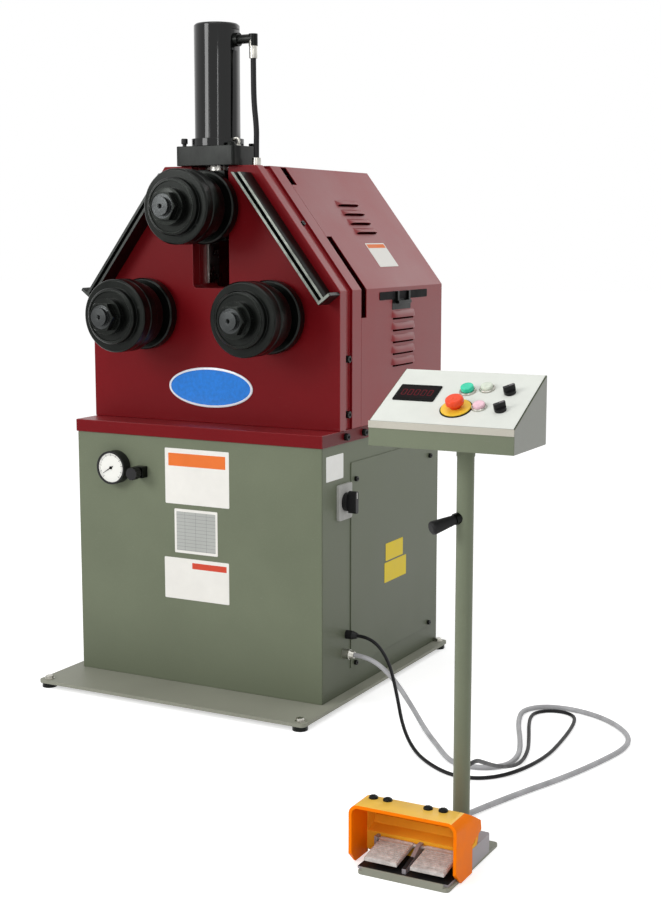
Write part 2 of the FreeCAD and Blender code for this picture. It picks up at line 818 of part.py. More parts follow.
def build_handle():
    """Tapered rubber grip on a round boss at the front left of the pole."""
    axis = V(stand_x, stand_y, handle_z)
    reach = V(-handle_side, -handle_front, -handle_drop)
    unit = V(reach)
    unit.normalize()
    boss_end = pole_r + handle_boss
    boss = rod(axis, unit, handle_boss_r, boss_end)
    pole_hole = rod(axis - V(0, 0, boss_end), V(0, 0, 1), pole_r, 2 * boss_end)
    save("handle_clamp", boss.cut(pole_hole))
    grip_len = reach.Length - boss_end
    grip = Part.makeCone(handle_root_r, handle_end_r, grip_len, axis + unit * boss_end, unit)
    tip = axis + reach
    rim = [e for e in grip.Edges if e.Length > 2 * math.pi * handle_end_r - 1
           and (e.CenterOfMass - tip).Length < 1]
    save("handle_grip", grip.makeFillet(handle_round, rim))


def console_outline(inset, lift):
    """Side outline of the console, moved in by inset, with its top lifted."""
    y0 = stand_y - console_front + inset
    y1 = stand_y + console_rear - inset
    rise = (console_rear_h - console_front_h) / (console_front + console_rear)
    z0 = console_low + inset
    front_z = console_low + console_front_h + lift + rise * inset
    rear_z = console_low + console_rear_h + lift - rise * inset
    return [(y0, z0), (y1, z0), (y1, rear_z), (y0, front_z)]


console_tilt = math.atan2(console_rear_h - console_front_h,
                          console_front + console_rear)
console_deck = math.hypot(console_rear_h - console_front_h,
                          console_front + console_rear)


def on_deck(shape, across, along):
    """Place a shape drawn at the origin, +Z up, on the sloping console deck.

    across runs from the left end of the console, along from its front edge.
    """
    shape.rotate(V(0, 0, 0), V(1, 0, 0), math.degrees(console_tilt))
    lift = panel_plate_t
    y = stand_y - console_front + along * math.cos(console_tilt)
    z = console_low + console_front_h + along * math.sin(console_tilt)
    y -= lift * math.sin(console_tilt)
    z += lift * math.cos(console_tilt)
    shape.translate(V(stand_x - console_left + across, y, z))
    return shape


def build_console():
    """Folded console box, its white deck plate and the controls on it."""
    x0 = stand_x - console_left
    x1 = x0 + console_w
    s = console_sheet
    outer = prism_x(console_outline(0, 0), x0, x1)
    hollow = prism_x(console_outline(s, console_front_h), x0 + s, x1 - s)
    save("console_housing", outer.cut(hollow))
    deck = Part.makeBox(console_w - 2 * panel_edge, console_deck - 2 * panel_edge,
                        panel_plate_t, V(panel_edge, panel_edge, -panel_plate_t))
    deck = on_deck(deck, 0, 0)
    for across, along in ((estop_across, estop_along), (green_across, green_along),
                          (lamp_across, lamp_along), (pale_across, pale_along),
                          (key_rear_across, key_rear_along),
                          (key_front_across, key_front_along)):
        hole = Part.makeCylinder(button_bore, 10, V(0, 0, -6))
        deck = deck.cut(on_deck(hole, across, along))
    save("console_deck", deck)


def round_top(shape, radius, top):
    """Fillet the upper rim of a turned shape."""
    return shape.makeFillet(radius, [e for e in shape.Edges if e.BoundBox.ZMin > top - 0.1])


def build_controls():
    """Emergency stop, push button, lamps and selectors."""
    r = button_bore - SEAT
    collar = Part.makeCylinder(estop_collar_r, estop_collar_t)
    hole = Part.makeCylinder(button_bore, estop_collar_t + 2, V(0, 0, -1))
    save("stop_collar", on_deck(collar.cut(hole), estop_across, estop_along))
    cap = Part.makeCylinder(estop_r, estop_head, V(0, 0, estop_rise))
    cap = round_top(cap, estop_round, estop_rise + estop_head)
    stem = Part.makeCylinder(r, estop_stem + estop_rise + 2, V(0, 0, -estop_stem))
    save("stop_button", on_deck(cap.fuse(stem).removeSplitter(), estop_across,
                                estop_along))
    cap = Part.makeCylinder(push_r, push_head, V(0, 0, push_rise))
    cap = round_top(cap, push_round, push_rise + push_head)
    stem = Part.makeCylinder(r, stem_under + push_rise + 2, V(0, 0, -stem_under))
    save("green_button", on_deck(cap.fuse(stem).removeSplitter(), green_across,
                                 green_along))
    for name, across, along in (("lamp_red", lamp_across, lamp_along),
                                ("lamp_white", pale_across, pale_along)):
        lens = round_top(Part.makeCylinder(lens_r, lens_h), lens_round, lens_h)
        stem = Part.makeCylinder(r, stem_under + 2, V(0, 0, -stem_under))
        save(name, on_deck(lens.fuse(stem).removeSplitter(), across, along))
    for name, across, along in (("selector_rear", key_rear_across, key_rear_along),
                                ("selector_front", key_front_across, key_front_along)):
        hub = Part.makeCylinder(key_hub_r, key_hub_h, V(0, 0, SEAT))
        grip = Part.makeBox(key_grip_w, key_grip_len, key_grip_h,
                            V(-key_grip_w / 2, -key_grip_len / 2, key_hub_h - 0.5))
        grip = grip.makeFillet(key_grip_round, [e for e in grip.Edges if upright(e)])
        grip.rotate(V(0, 0, 0), V(0, 0, 1), key_turn)
        stem = Part.makeCylinder(r, stem_under + key_hub_h, V(0, 0, -stem_under))
        knob = hub.fuse([grip, stem]).removeSplitter()
        save(name, on_deck(knob, across, along))


def foot_levels():
    """Front and rear faces of the foot switch and the axis of its pedals."""
    y_front = stand_y - foot_front
    y_rear = stand_y - foot_rear
    hinge_y = y_rear - foot_rear_d - hinge_ahead
    hinge_z = stand_base_t + foot_rear_h - hinge_under
    return y_front, y_rear, hinge_y, hinge_z


def build_foot_switch():
    """Cast foot switch body, its two pedals and the protective hood."""
    y_front, y_rear, hinge_y, hinge_z = foot_levels()
    z0 = stand_base_t
    top = z0 + foot_rear_h
    half = foot_body_w / 2
    block_y = y_rear - foot_rear_d
    mid_x = foot_x + foot_shift
    lug_out = lug_x + lug_w
    floor_plate = box(mid_x - lug_out, mid_x + lug_out, y_front + foot_floor_back,
                      y_rear, z0, z0 + foot_floor_t)
    rear = box(foot_x - half, foot_x + half, block_y, y_rear, z0, top)
    rear = soften(rear, foot_round, upright)
    nose_y = y_front + divider_back
    divider = prism_x([(nose_y, z0), (block_y + 2, z0), (block_y + 2, top),
                       (hinge_y - lug_ahead, top),
                       (nose_y + divider_ramp, z0 + divider_h),
                       (nose_y, z0 + divider_nose_h)],
                      mid_x - divider_w / 2, mid_x + divider_w / 2)
    parts = [rear, divider]
    for sign in (-1, 1):
        near = mid_x + sign * lug_x
        far = mid_x + sign * lug_out
        parts.append(box(min(near, far), max(near, far), hinge_y - lug_ahead,
                         block_y + 2, z0, top))
    parts.append(rod(V(grey_end_x, y_rear - 2, grey_end_z), V(0, 1, 0), foot_gland_r,
                     foot_gland_reach + 2))
    body = floor_plate.fuse(parts).removeSplitter()
    bore_half = lug_x + lug_w / 2
    bore = rod(V(mid_x - bore_half, hinge_y, hinge_z), V(1, 0, 0),
               pedal_pin_r + RUNNING, 2 * bore_half)
    save("foot_body", body.cut(bore))
    build_pedal("pedal_left", mid_x, -1, hinge_y, hinge_z)
    build_pedal("pedal_right", mid_x, 1, hinge_y, hinge_z)
    build_hood(y_front, y_rear, top)


def build_pedal(name, mid_x, sign, hinge_y, hinge_z):
    """Tread plate with its barrel and a pin that turns in the divider and a lug."""
    x_in = mid_x + sign * (divider_w / 2 + pedal_gap)
    x_out = x_in + sign * pedal_w
    x0 = min(x_in, x_out)
    x1 = max(x_in, x_out)
    half_t = pedal_t / 2
    tip_y = hinge_y - pedal_len
    tread = prism_x([(hinge_y, hinge_z - half_t), (hinge_y, hinge_z + half_t),
                     (tip_y, hinge_z + half_t - pedal_rise),
                     (tip_y, hinge_z - half_t - pedal_rise)], x0, x1)
    barrel = rod(V(x0, hinge_y, hinge_z), V(1, 0, 0), pedal_barrel_r, x1 - x0)
    reach_in = pedal_gap + divider_w / 2 - pedal_pin_short
    reach_out = lug_gap + lug_w / 2 - SEAT
    start = x0 - (reach_in if sign > 0 else reach_out)
    pin = rod(V(start, hinge_y, hinge_z), V(1, 0, 0), pedal_pin_r,
              x1 - x0 + reach_in + reach_out)
    save(name, tread.fuse([barrel, pin]).removeSplitter())


def hood_block(inset, y0, y1):
    """Arch of the hood between two Y faces: upright cheeks and rounded shoulders."""
    half = foot_body_w / 2 + hood_t - inset
    top_z = hood_low + hood_h - inset
    block = box(foot_x - half, foot_x + half, y0, y1, hood_low, top_z)
    edges = [e for e in block.Edges if e.BoundBox.ZMin > top_z - 0.1
             and e.BoundBox.XLength < 0.1]
    return block.makeFillet(hood_corner_r - inset, edges)


def build_hood(y_front, y_rear, seat_z):
    """Open hood over the pedals: two cheeks, a top, a rear wall and a thick rim."""
    t = hood_t
    top_z = hood_low + hood_h
    lip_y = y_front + hood_set_back
    y_back = y_rear - hood_rear_gap
    crown_y = lip_y + hood_top_d
    cheek_y = lip_y + hood_cheek_d
    knee = (y_back - hood_knee_in, top_z - hood_knee_drop)
    heel = (y_back, top_z - hood_heel_drop)
    seat_y = y_back - hood_seat_in
    outline = [(lip_y, top_z + 1), (crown_y, top_z + 1), (crown_y, top_z), knee, heel,
               (seat_y, seat_z), (cheek_y, seat_z), (cheek_y, 0.0),
               (lip_y + hood_toe_back, 0.0), (lip_y, hood_toe_h)]
    x0 = foot_x - foot_body_w
    x1 = foot_x + foot_body_w
    outer = hood_block(0, lip_y - 1, y_back + 1).common(prism_x(outline, x0, x1))
    hollow = [(lip_y - 1, top_z), (crown_y - t, top_z), (crown_y - t, top_z - t),
              (knee[0] - t, knee[1] - t), (heel[0] - t, heel[1] - t),
              (seat_y - t, seat_z), (seat_y - t, -1.0), (lip_y - 1, -1.0)]
    rim_y = lip_y + hood_rim_d
    mouth = hood_block(t + hood_rim, lip_y - 1, rim_y + 1)
    inner = hood_block(t, rim_y, y_back + 1).common(prism_x(hollow, x0, x1))
    hood = outer.cut(mouth).cut(inner)
    step = [(y_back + 1, heel[1]), (cheek_y, top_z - hood_cheek_drop),
            (cheek_y, seat_z - 1), (y_back + 1, seat_z - 1)]
    half = foot_body_w / 2
    hood = hood.cut(prism_x(step, x0, foot_x - half))
    hood = hood.cut(prism_x(step, foot_x + half, x1))
    body = box(foot_x - half, foot_x + half, y_rear - foot_rear_d, y_rear, 0, seat_z)
    save("foot_hood", hood.cut(body))


def tube_along(name, points, radius):
    """Round tube through a route of straight runs joined by tangent arcs."""
    edges = []
    last = points[0]
    radii = []
    for i in range(1, len(points) - 1):
        before = points[i] - points[i - 1]
        after = points[i + 1] - points[i]
        short = min(before.Length, after.Length)
        turn = before.getAngle(after)
        back = V(before)
        back.normalize()
        ahead = V(after)
        ahead.normalize()
        start = points[i] - back * (0.45 * short)
        end = points[i] + ahead * (0.45 * short)
        bend = 0.45 * short / math.tan(turn / 2)
        inward = (ahead - back)
        inward.normalize()
        centre_gap = bend / math.cos(turn / 2)
        middle = points[i] + inward * (centre_gap - bend)
        edges.append(Part.LineSegment(last, start).toShape())
        edges.append(Part.Arc(start, middle, end).toShape())
        radii.append(round(bend))
        last = end
    edges.append(Part.LineSegment(last, points[-1]).toShape())
    path = Part.Wire(edges)
    length = path.Length
    direction = points[1] - points[0]
    ring = Part.Wire(Part.makeCircle(radius, points[0], direction))
    pipe = path.makePipeShell([ring], True, False)
    ideal = math.pi * radius * radius * length
    print(name, "radii", radii)
    print(name, "length", round(length), "volume over ideal",
          round(pipe.Volume / ideal, 4))
    return pipe


black_route = [
    (cab_w / 2 + entry_reach, cab_y0 + black_entry_back, black_entry_z),
    (cab_w / 2 + entry_reach + entry_lead, cab_y0 + black_entry_back, black_entry_z),
    (575, -201, 148), (640, -285, 84), (705, -385, 28),
    (785, -487, 5.5), (865, -565, 5.5), (945, -612, 5.5), (1015, -606, 5.5),
    (1066, -553, 5.5), (1098, -466, 5.5), (1113, -358, 5.5), (1108, -245, 5.5),
    (1096, -122, 5.5), (1080, -42, 5.5), (1059, -10, 5.5), (1023, 4, 5.5),
    (986, -6, 5.5), (962, -36, 5.5), (960, -76, 5.5), (982, -150, 5.5),
    (1018, -245, 5.5), (1055, -350, 5.5), (1076, -460, 9), (1084, -580, 40),
    (1098, -700, 84), (1116, -818, 134),
    (stand_x, stand_y + pole_r + grommet_reach + grommet_lead, grommet_z),
    (stand_x, stand_y + pole_r + grommet_reach, grommet_z),
]

grey_route = [
    (cab_w / 2 + entry_reach, cab_y0 + grey_entry_back, grey_entry_z),
    (cab_w / 2 + entry_reach + entry_lead, cab_y0 + grey_entry_back, grey_entry_z),
    (585, -202, 104), (668, -250, 44), (752, -335, 8),
    (826, -427, 7.5), (893, -511, 7.5), (935, -537, 7.5),
    (985, -537, 7.5), (1027, -512, 7.5), (1052, -470, 7.5), (1046, -390, 7.5),
    (1006, -280, 7.5), (956, -165, 7.5), (927, -70, 7.5),
    (931, -26, 7.5), (956, 10, 7.5), (996, 29, 7.5), (1060, 31, 7.5),
    (1140, 2, 7.5), (1212, -56, 7.5), (1263, -130, 7.5), (1278, -220, 7.5),
    (1250, -350, 7.5), (1206, -500, 7.5), (1150, -640, 7.5), (1102, -780, 7.5), (1084, -866, 12),
]


def build_cables():
    """Black cable to the pole and grey conduit to the foot switch."""
    gland_y = foot_levels()[1] + foot_gland_reach
    black = [V(*p) for p in black_route]
    save("black_cable", tube_along("black_cable", black, black_r))
    grey_end = [(grey_end_x, gland_y + grey_lead, grey_end_z),
                (grey_end_x, gland_y, grey_end_z)]
    grey = [V(*p) for p in grey_route + grey_end]
    save("grey_conduit", tube_along("grey_conduit", grey, grey_r))


build_base()
build_cabinet()
build_head_plates()
build_carriage()
build_rolls()
build_guide_bars()
build_covers()
build_cylinder()
build_gauge()
build_side_fittings()
build_stand()
build_handle()
build_console()
build_controls()
build_foot_switch()
build_cables()
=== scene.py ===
import json
import math

import bmesh
import bpy
from bpy.props import FloatProperty, FloatVectorProperty, IntProperty, PointerProperty
from mathutils import Matrix, Vector


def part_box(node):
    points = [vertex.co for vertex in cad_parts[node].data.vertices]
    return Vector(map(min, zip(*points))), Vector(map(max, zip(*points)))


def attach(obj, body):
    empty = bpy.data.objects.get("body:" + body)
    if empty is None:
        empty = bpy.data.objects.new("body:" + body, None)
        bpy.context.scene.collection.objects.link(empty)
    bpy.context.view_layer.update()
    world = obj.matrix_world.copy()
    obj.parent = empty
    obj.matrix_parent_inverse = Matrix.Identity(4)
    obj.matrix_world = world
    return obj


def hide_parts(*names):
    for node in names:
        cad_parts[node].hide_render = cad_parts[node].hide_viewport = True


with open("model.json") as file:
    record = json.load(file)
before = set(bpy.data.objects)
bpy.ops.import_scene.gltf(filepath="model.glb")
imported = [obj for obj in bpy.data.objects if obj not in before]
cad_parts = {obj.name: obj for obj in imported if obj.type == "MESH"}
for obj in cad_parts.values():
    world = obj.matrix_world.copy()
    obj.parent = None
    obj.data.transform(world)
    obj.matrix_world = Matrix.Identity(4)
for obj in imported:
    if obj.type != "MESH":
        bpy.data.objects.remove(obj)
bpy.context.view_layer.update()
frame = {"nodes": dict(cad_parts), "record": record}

bl_info = {
    "name": "Section Bender Dressing",
    "version": (1, 0, 0),
    "blender": (4, 5, 0),
    "location": "View3D > Sidebar > Bender",
    "description": "Surfaces, fittings, cables and studio for a three-roll section bender",
    "category": "Object",
}

NODES = frame["nodes"]
MM = 0.001

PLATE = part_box("base_plate")
PLATE_T = 0.010
ANCHOR_X = 0.433
ANCHOR_Y = 0.4685
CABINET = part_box("cabinet_front")
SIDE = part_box("cabinet_right")
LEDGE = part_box("ledge")
FRONT_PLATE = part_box("head_front_plate")
BACK_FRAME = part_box("head_back_frame")
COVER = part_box("cover_right")
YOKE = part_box("cylinder_yoke")
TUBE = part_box("cylinder_tube")
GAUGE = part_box("pressure_gauge")
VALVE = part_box("valve_body")
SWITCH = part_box("switch_plate")
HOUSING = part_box("console_housing")
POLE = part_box("stand_pole")
POLE_Y = -0.982
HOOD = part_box("foot_hood")
FRONT_Y = CABINET[0].y
SIDE_X = SIDE[1].x
HEAD_X = FRONT_PLATE[1].x
HEAD_Y = FRONT_PLATE[0].y
RIDGE = Vector((YOKE[1].x, 0, FRONT_PLATE[1].z))


SLOPE_TOP = Vector((0.157, 0, 1.549))
SLOPE_FOOT = Vector((0.426, 0, 1.196))
SLOPE_UP = (SLOPE_TOP - SLOPE_FOOT).normalized()
SLOPE_OUT = Vector((0, 1, 0)).cross(SLOPE_UP)


def slope_point(down, y):
    """Point on the right slope, a distance down from the ridge corner."""
    point = SLOPE_TOP - SLOPE_UP * down
    return Vector((point.x, y, point.z))


CONSOLE_FRONT_H = 0.052
DECK_PLATE_T = 0.002
DECK_TILT = math.atan2(HOUSING[1].z - HOUSING[0].z - CONSOLE_FRONT_H,
                       HOUSING[1].y - HOUSING[0].y)
DECK_UP = Vector((0, math.cos(DECK_TILT), math.sin(DECK_TILT)))
DECK_OUT = Vector((1, 0, 0)).cross(DECK_UP)


def deck_point(across, along, lift=0.0):
    """Point over the console deck, from its left end and its front edge."""
    corner = Vector((HOUSING[0].x, HOUSING[0].y, HOUSING[0].z + CONSOLE_FRONT_H))
    corner += Vector((across, 0, 0)) + DECK_UP * along
    return corner + DECK_OUT * (DECK_PLATE_T + lift)


CONTROLS = {"stop_collar": (0.179, 0.065), "green_button": (0.180, 0.134),
            "lamp_white": (0.220, 0.147), "lamp_red": (0.228, 0.075),
            "selector_rear": (0.276, 0.136), "selector_front": (0.278, 0.069)}


def tint(red, green, blue):
    """Screen colour, 0 to 255 a channel, as the linear colour that a shader takes."""
    out = []
    for channel in (red, green, blue):
        c = channel / 255.0
        out.append(c / 12.92 if c <= 0.04045 else ((c + 0.055) / 1.055) ** 2.4)
    return tuple(out)


class FinishSettings(bpy.types.PropertyGroup):
    """Colours and wear of the machine's finishes."""

    olive: FloatVectorProperty(
        name="Cabinet paint", description="Grey olive paint of cabinet, console and pole",
        subtype="COLOR", size=3, min=0, max=1, default=tint(111, 118, 98))
    crimson: FloatVectorProperty(
        name="Head paint", description="Deep red paint of the head and the ledge",
        subtype="COLOR", size=3, min=0, max=1, default=tint(128, 16, 24))
    steel_black: FloatVectorProperty(
        name="Blackened steel", description="Oiled black finish of rolls and cylinder",
        subtype="COLOR", size=3, min=0, max=1, default=tint(21, 23, 21))
    steel: FloatVectorProperty(
        name="Bright steel", description="Ground steel of bars and shafts",
        subtype="COLOR", size=3, min=0, max=1, default=tint(188, 186, 180))
    orange: FloatVectorProperty(
        name="Foot guard", description="Orange plastic of the foot switch guard",
        subtype="COLOR", size=3, min=0, max=1, default=tint(255, 126, 6))
    deck: FloatVectorProperty(
        name="Console deck", description="Pale film on the console deck",
        subtype="COLOR", size=3, min=0, max=1, default=tint(221, 224, 217))
    badge: FloatVectorProperty(
        name="Badge", description="Blue enamel of the bare oval badge",
        subtype="COLOR", size=3, min=0, max=1, default=tint(24, 122, 216))
    wear: FloatProperty(
        name="Wear", description="Share of scuffs and dust on the surfaces",
        subtype="FACTOR", min=0, max=1, default=0.35)


class DetailSettings(bpy.types.PropertyGroup):
    """Sizes of the small fittings."""

    cap_screw_r: FloatProperty(
        name="Cap screw radius", description="Head radius of the large cap screws",
        unit="LENGTH", default=0.0105)
    panel_screw_r: FloatProperty(
        name="Panel screw radius", description="Head radius of the panel screws",
        unit="LENGTH", default=0.0075)
    louvre_rise: FloatProperty(
        name="Louvre rise", description="How far a pressed louvre stands proud",
        unit="LENGTH", default=0.0085)
    tick_count: IntProperty(
        name="Gauge ticks", description="Divisions on the gauge dial",
        min=5, max=101, default=51)
    tread_count: IntProperty(
        name="Tread ribs", description="Ribs across each foot pedal",
        min=3, max=30, default=11)
    label_t: FloatProperty(
        name="Label thickness", description="Thickness of the bare label plates",
        unit="LENGTH", default=0.0008)


class StudioSettings(bpy.types.PropertyGroup):
    """Camera and light."""

    focal: FloatProperty(
        name="Focal length", description="Lens for a picture 661 wide and 900 high",
        subtype="DISTANCE_CAMERA", default=60.18)
    key_power: FloatProperty(
        name="Key light", description="Power of the soft light at the front left",
        unit="POWER", default=105.0)
    rim_power: FloatProperty(
        name="Back light", description="Power of the soft light behind the machine",
        unit="POWER", default=12.0)
    top_power: FloatProperty(
        name="Top light", description="Power of the soft light overhead",
        unit="POWER", default=34.0)
    fill_power: FloatProperty(
        name="Fill light", description="Power of the narrow light in front",
        unit="POWER", default=26.0)
    sky: FloatProperty(
        name="Sky", description="Strength of the even light from all round",
        min=0, max=2, default=0.62)


# Materials

def shader(name):
    """New material with its node tree, main shader and an adder for nodes."""
    mat = bpy.data.materials.new(name)
    mat.use_nodes = True
    tree = mat.node_tree
    bsdf = tree.nodes["Principled BSDF"]

    def add(kind, values=None, **settings):
        node = tree.nodes.new(kind)
        for key, value in settings.items():
            setattr(node, key, value)
        for key, value in (values or {}).items():
            node.inputs[key].default_value = value
        return node

    return mat, tree, bsdf, add


def rgba(colour):
    """Colour with full alpha."""
    return (colour[0], colour[1], colour[2], 1.0)


def scaled(colour, factor):
    """Colour made lighter or darker."""
    return tuple(min(1.0, c * factor) for c in colour)


def place(tree, add, centre=(0, 0, 0), stretch=(1, 1, 1)):
    """Object coordinates about a centre, stretched along the axes."""
    coord = add("ShaderNodeTexCoord")
    mapping = add("ShaderNodeMapping", {
        "Location": tuple(-c * s for c, s in zip(centre, stretch)), "Scale": stretch})
    tree.links.new(coord.outputs["Object"], mapping.inputs["Vector"])
    return mapping.outputs["Vector"]


def noise(tree, add, where, scale, detail=4.0, rough=0.55):
    """Noise read at a place."""
    node = add("ShaderNodeTexNoise",
               {"Scale": scale, "Detail": detail, "Roughness": rough})
    tree.links.new(where, node.inputs["Vector"])
    return node.outputs["Fac"]


def ramp(tree, add, value, stops):
    """Colour ramp of (position, colour) stops."""
    node = add("ShaderNodeValToRGB")
    band = node.color_ramp
    while len(band.elements) < len(stops):
        band.elements.new(0.5)
    for element, (position, colour) in zip(band.elements, stops):
        element.position = position
        element.color = rgba(colour)
    tree.links.new(value, node.inputs["Fac"])
    return node.outputs["Color"]


def blend_colours(tree, add, factor, first, second, mode="MIX"):
    """Mix of two colours, each a socket or a colour."""
    node = add("ShaderNodeMix", data_type="RGBA", blend_type=mode)
    for value, slot_name in ((factor, 0), (first, 6), (second, 7)):
        if isinstance(value, bpy.types.NodeSocket):
            tree.links.new(value, node.inputs[slot_name])
        elif slot_name == 0:
            node.inputs[0].default_value = value
        else:
            node.inputs[slot_name].default_value = rgba(value)
    return node.outputs[2]


def remap(tree, add, value, low, high, start=0.0, end=1.0):
    """Value carried from one range to another."""
    node = add("ShaderNodeMapRange", {
        "From Min": start, "From Max": end, "To Min": low, "To Max": high})
    tree.links.new(value, node.inputs["Value"])
    return node.outputs["Result"]


def combine(tree, add, operation, first, second):
    """Sum or other sum-like step of two values."""
    node = add("ShaderNodeMath", operation=operation)
    for index, value in enumerate((first, second)):
        if isinstance(value, bpy.types.NodeSocket):
            tree.links.new(value, node.inputs[index])
        else:
            node.inputs[index].default_value = value
    return node.outputs[0]


def relief(tree, add, bsdf, height, strength, depth):
    """Bump on the main shader."""
    node = add("ShaderNodeBump", {"Strength": strength, "Distance": depth})
    tree.links.new(height, node.inputs["Height"])
    tree.links.new(node.outputs["Normal"], bsdf.inputs["Normal"])


def painted(name, colour, rough=0.38, coat=0.25, peel=0.25, dust=0.3, low_dark=None,
            gloss=0.5):
    """Sprayed paint: orange peel, faint clouds, dust and small scuffs; low_dark adds painted
    shade towards the floor.
    """
    mat, tree, bsdf, add = shader(name)
    where = place(tree, add)
    cloud = noise(tree, add, where, 3.1, 5.0)
    body = ramp(tree, add, cloud, [(0.25, scaled(colour, 0.90)), (0.75, scaled(colour, 1.09))])
    fine = noise(tree, add, where, 260.0, 3.0)
    speck = remap(tree, add, fine, 0.0, 0.16, 0.55, 0.80)
    body = blend_colours(tree, add, speck, body, scaled(colour, 1.5))
    scuff = noise(tree, add, place(tree, add, stretch=(1.0, 1.0, 5.0)), 42.0, 8.0, 0.7)
    mask = remap(tree, add, scuff, 0.0, dust, 0.62, 0.74)
    body = blend_colours(tree, add, mask, body, tint(150, 148, 140))
    # Painted shade: the colour darkens towards the floor, where less light falls.
    if low_dark:
        floor_z, reach, shade = low_dark
        split = add("ShaderNodeSeparateXYZ")
        tree.links.new(where, split.inputs[0])
        low_shade = remap(tree, add, split.outputs["Z"], 0.55, 0.0, floor_z, floor_z + reach)
        low_shade = combine(tree, add, "MULTIPLY", low_shade, remap(tree, add, cloud, 0.5, 1.3))
        body = blend_colours(tree, add, low_shade, body, shade)
    tree.links.new(body, bsdf.inputs["Base Color"])
    rough_map = remap(tree, add, cloud, rough - 0.05, rough + 0.07, 0.3, 0.7)
    tree.links.new(rough_map, bsdf.inputs["Roughness"])
    bsdf.inputs["Specular IOR Level"].default_value = gloss
    bsdf.inputs["Coat Weight"].default_value = coat
    bsdf.inputs["Coat Roughness"].default_value = 0.22
    skin = noise(tree, add, where, 420.0, 2.0)
    relief(tree, add, bsdf, skin, peel, 0.0004)
    return mat


def turned_steel(name, colour, centre, metallic=0.85, rough=0.34, rings=900.0,
                 bright=1.0, coat=0.18):
    """Lathe-turned steel about an axis along Y: fine rings, oil film and dull spots."""
    mat, tree, bsdf, add = shader(name)
    where = place(tree, add, centre)
    split = add("ShaderNodeSeparateXYZ")
    tree.links.new(where, split.inputs[0])
    square_x = combine(tree, add, "MULTIPLY", split.outputs["X"], split.outputs["X"])
    square_z = combine(tree, add, "MULTIPLY", split.outputs["Z"], split.outputs["Z"])
    distance = combine(tree, add, "ADD", square_x, square_z)
    distance = combine(tree, add, "SQRT", distance, 0.0)
    travel = combine(tree, add, "ADD", distance, split.outputs["Y"])
    lines = add("ShaderNodeTexNoise", {"Scale": rings, "Detail": 2.0},
                noise_dimensions="1D")
    tree.links.new(travel, lines.inputs["W"])
    cloud = noise(tree, add, where, 11.0, 6.0)
    body = ramp(tree, add, cloud, [(0.3, scaled(colour, 0.72 * bright)),
                                   (0.7, scaled(colour, 1.35 * bright))])
    body = blend_colours(tree, add, remap(tree, add, lines.outputs["Fac"], 0.0, 0.35,
                                          0.45, 0.7), body, scaled(colour, 1.9))
    tree.links.new(body, bsdf.inputs["Base Color"])
    bsdf.inputs["Metallic"].default_value = metallic
    gloss = remap(tree, add, cloud, rough - 0.07, rough + 0.1, 0.3, 0.7)
    tree.links.new(gloss, bsdf.inputs["Roughness"])
    relief(tree, add, bsdf, lines.outputs["Fac"], 0.25, 0.0003)
    bsdf.inputs["Specular IOR Level"].default_value = 0.1
    bsdf.inputs["Coat Weight"].default_value = coat
    bsdf.inputs["Coat Roughness"].default_value = 0.14
    return mat


def ground_steel(name, colour, stretch=(40, 40, 2), metallic=1.0, rough=0.3, coat=0.0,
                 gloss=0.2):
    """Ground or drawn steel with streaks along one direction and faint stains."""
    mat, tree, bsdf, add = shader(name)
    streaks = noise(tree, add, place(tree, add, stretch=stretch), 9.0, 6.0)
    stains = noise(tree, add, place(tree, add), 16.0, 6.0)
    body = ramp(tree, add, streaks, [(0.3, scaled(colour, 0.72)), (0.7, scaled(colour, 1.12))])
    body = blend_colours(tree, add, remap(tree, add, stains, 0.0, 0.5, 0.55, 0.75), body,
                         scaled(colour, 0.45))
    tree.links.new(body, bsdf.inputs["Base Color"])
    bsdf.inputs["Metallic"].default_value = metallic
    tree.links.new(remap(tree, add, stains, rough - 0.06, rough + 0.15, 0.35, 0.7),
                   bsdf.inputs["Roughness"])
    bsdf.inputs["Specular IOR Level"].default_value = gloss
    bsdf.inputs["Coat Weight"].default_value = coat
    bsdf.inputs["Coat Roughness"].default_value = 0.1
    relief(tree, add, bsdf, streaks, 0.18, 0.0003)
    return mat


def moulded(name, colour, rough=0.4, grain=0.2, coat=0.0, scale=700.0, shade=0.2,
            gloss=0.2):
    """Moulded plastic or rubber with fine grain and slight handling marks."""
    mat, tree, bsdf, add = shader(name)
    where = place(tree, add)
    cloud = noise(tree, add, where, 22.0, 5.0)
    body = ramp(tree, add, cloud, [(0.3, scaled(colour, 1.0 - shade)),
                                   (0.7, scaled(colour, 1.0 + shade * 0.5))])
    tree.links.new(body, bsdf.inputs["Base Color"])
    tree.links.new(remap(tree, add, cloud, rough - 0.06, rough + 0.1, 0.3, 0.7),
                   bsdf.inputs["Roughness"])
    bsdf.inputs["Specular IOR Level"].default_value = gloss
    bsdf.inputs["Coat Weight"].default_value = coat
    bsdf.inputs["Coat Roughness"].default_value = 0.12
    relief(tree, add, bsdf, noise(tree, add, where, scale, 2.0), grain, 0.0003)
    return mat


def lens(name, colour, glow=0.0):
    """Clear tinted lens over a cap; glow makes the cap emit light, a painted glow."""
    mat, tree, bsdf, add = shader(name)
    where = place(tree, add)
    ribs = noise(tree, add, where, 90.0, 3.0)
    body = ramp(tree, add, ribs, [(0.3, scaled(colour, 0.85)), (0.7, scaled(colour, 1.1))])
    tree.links.new(body, bsdf.inputs["Base Color"])
    bsdf.inputs["Roughness"].default_value = 0.2
    bsdf.inputs["Specular IOR Level"].default_value = 0.25
    bsdf.inputs["Coat Weight"].default_value = 0.2
    if glow:
        tree.links.new(body, bsdf.inputs["Emission Color"])
        bsdf.inputs["Emission Strength"].default_value = glow
    return mat


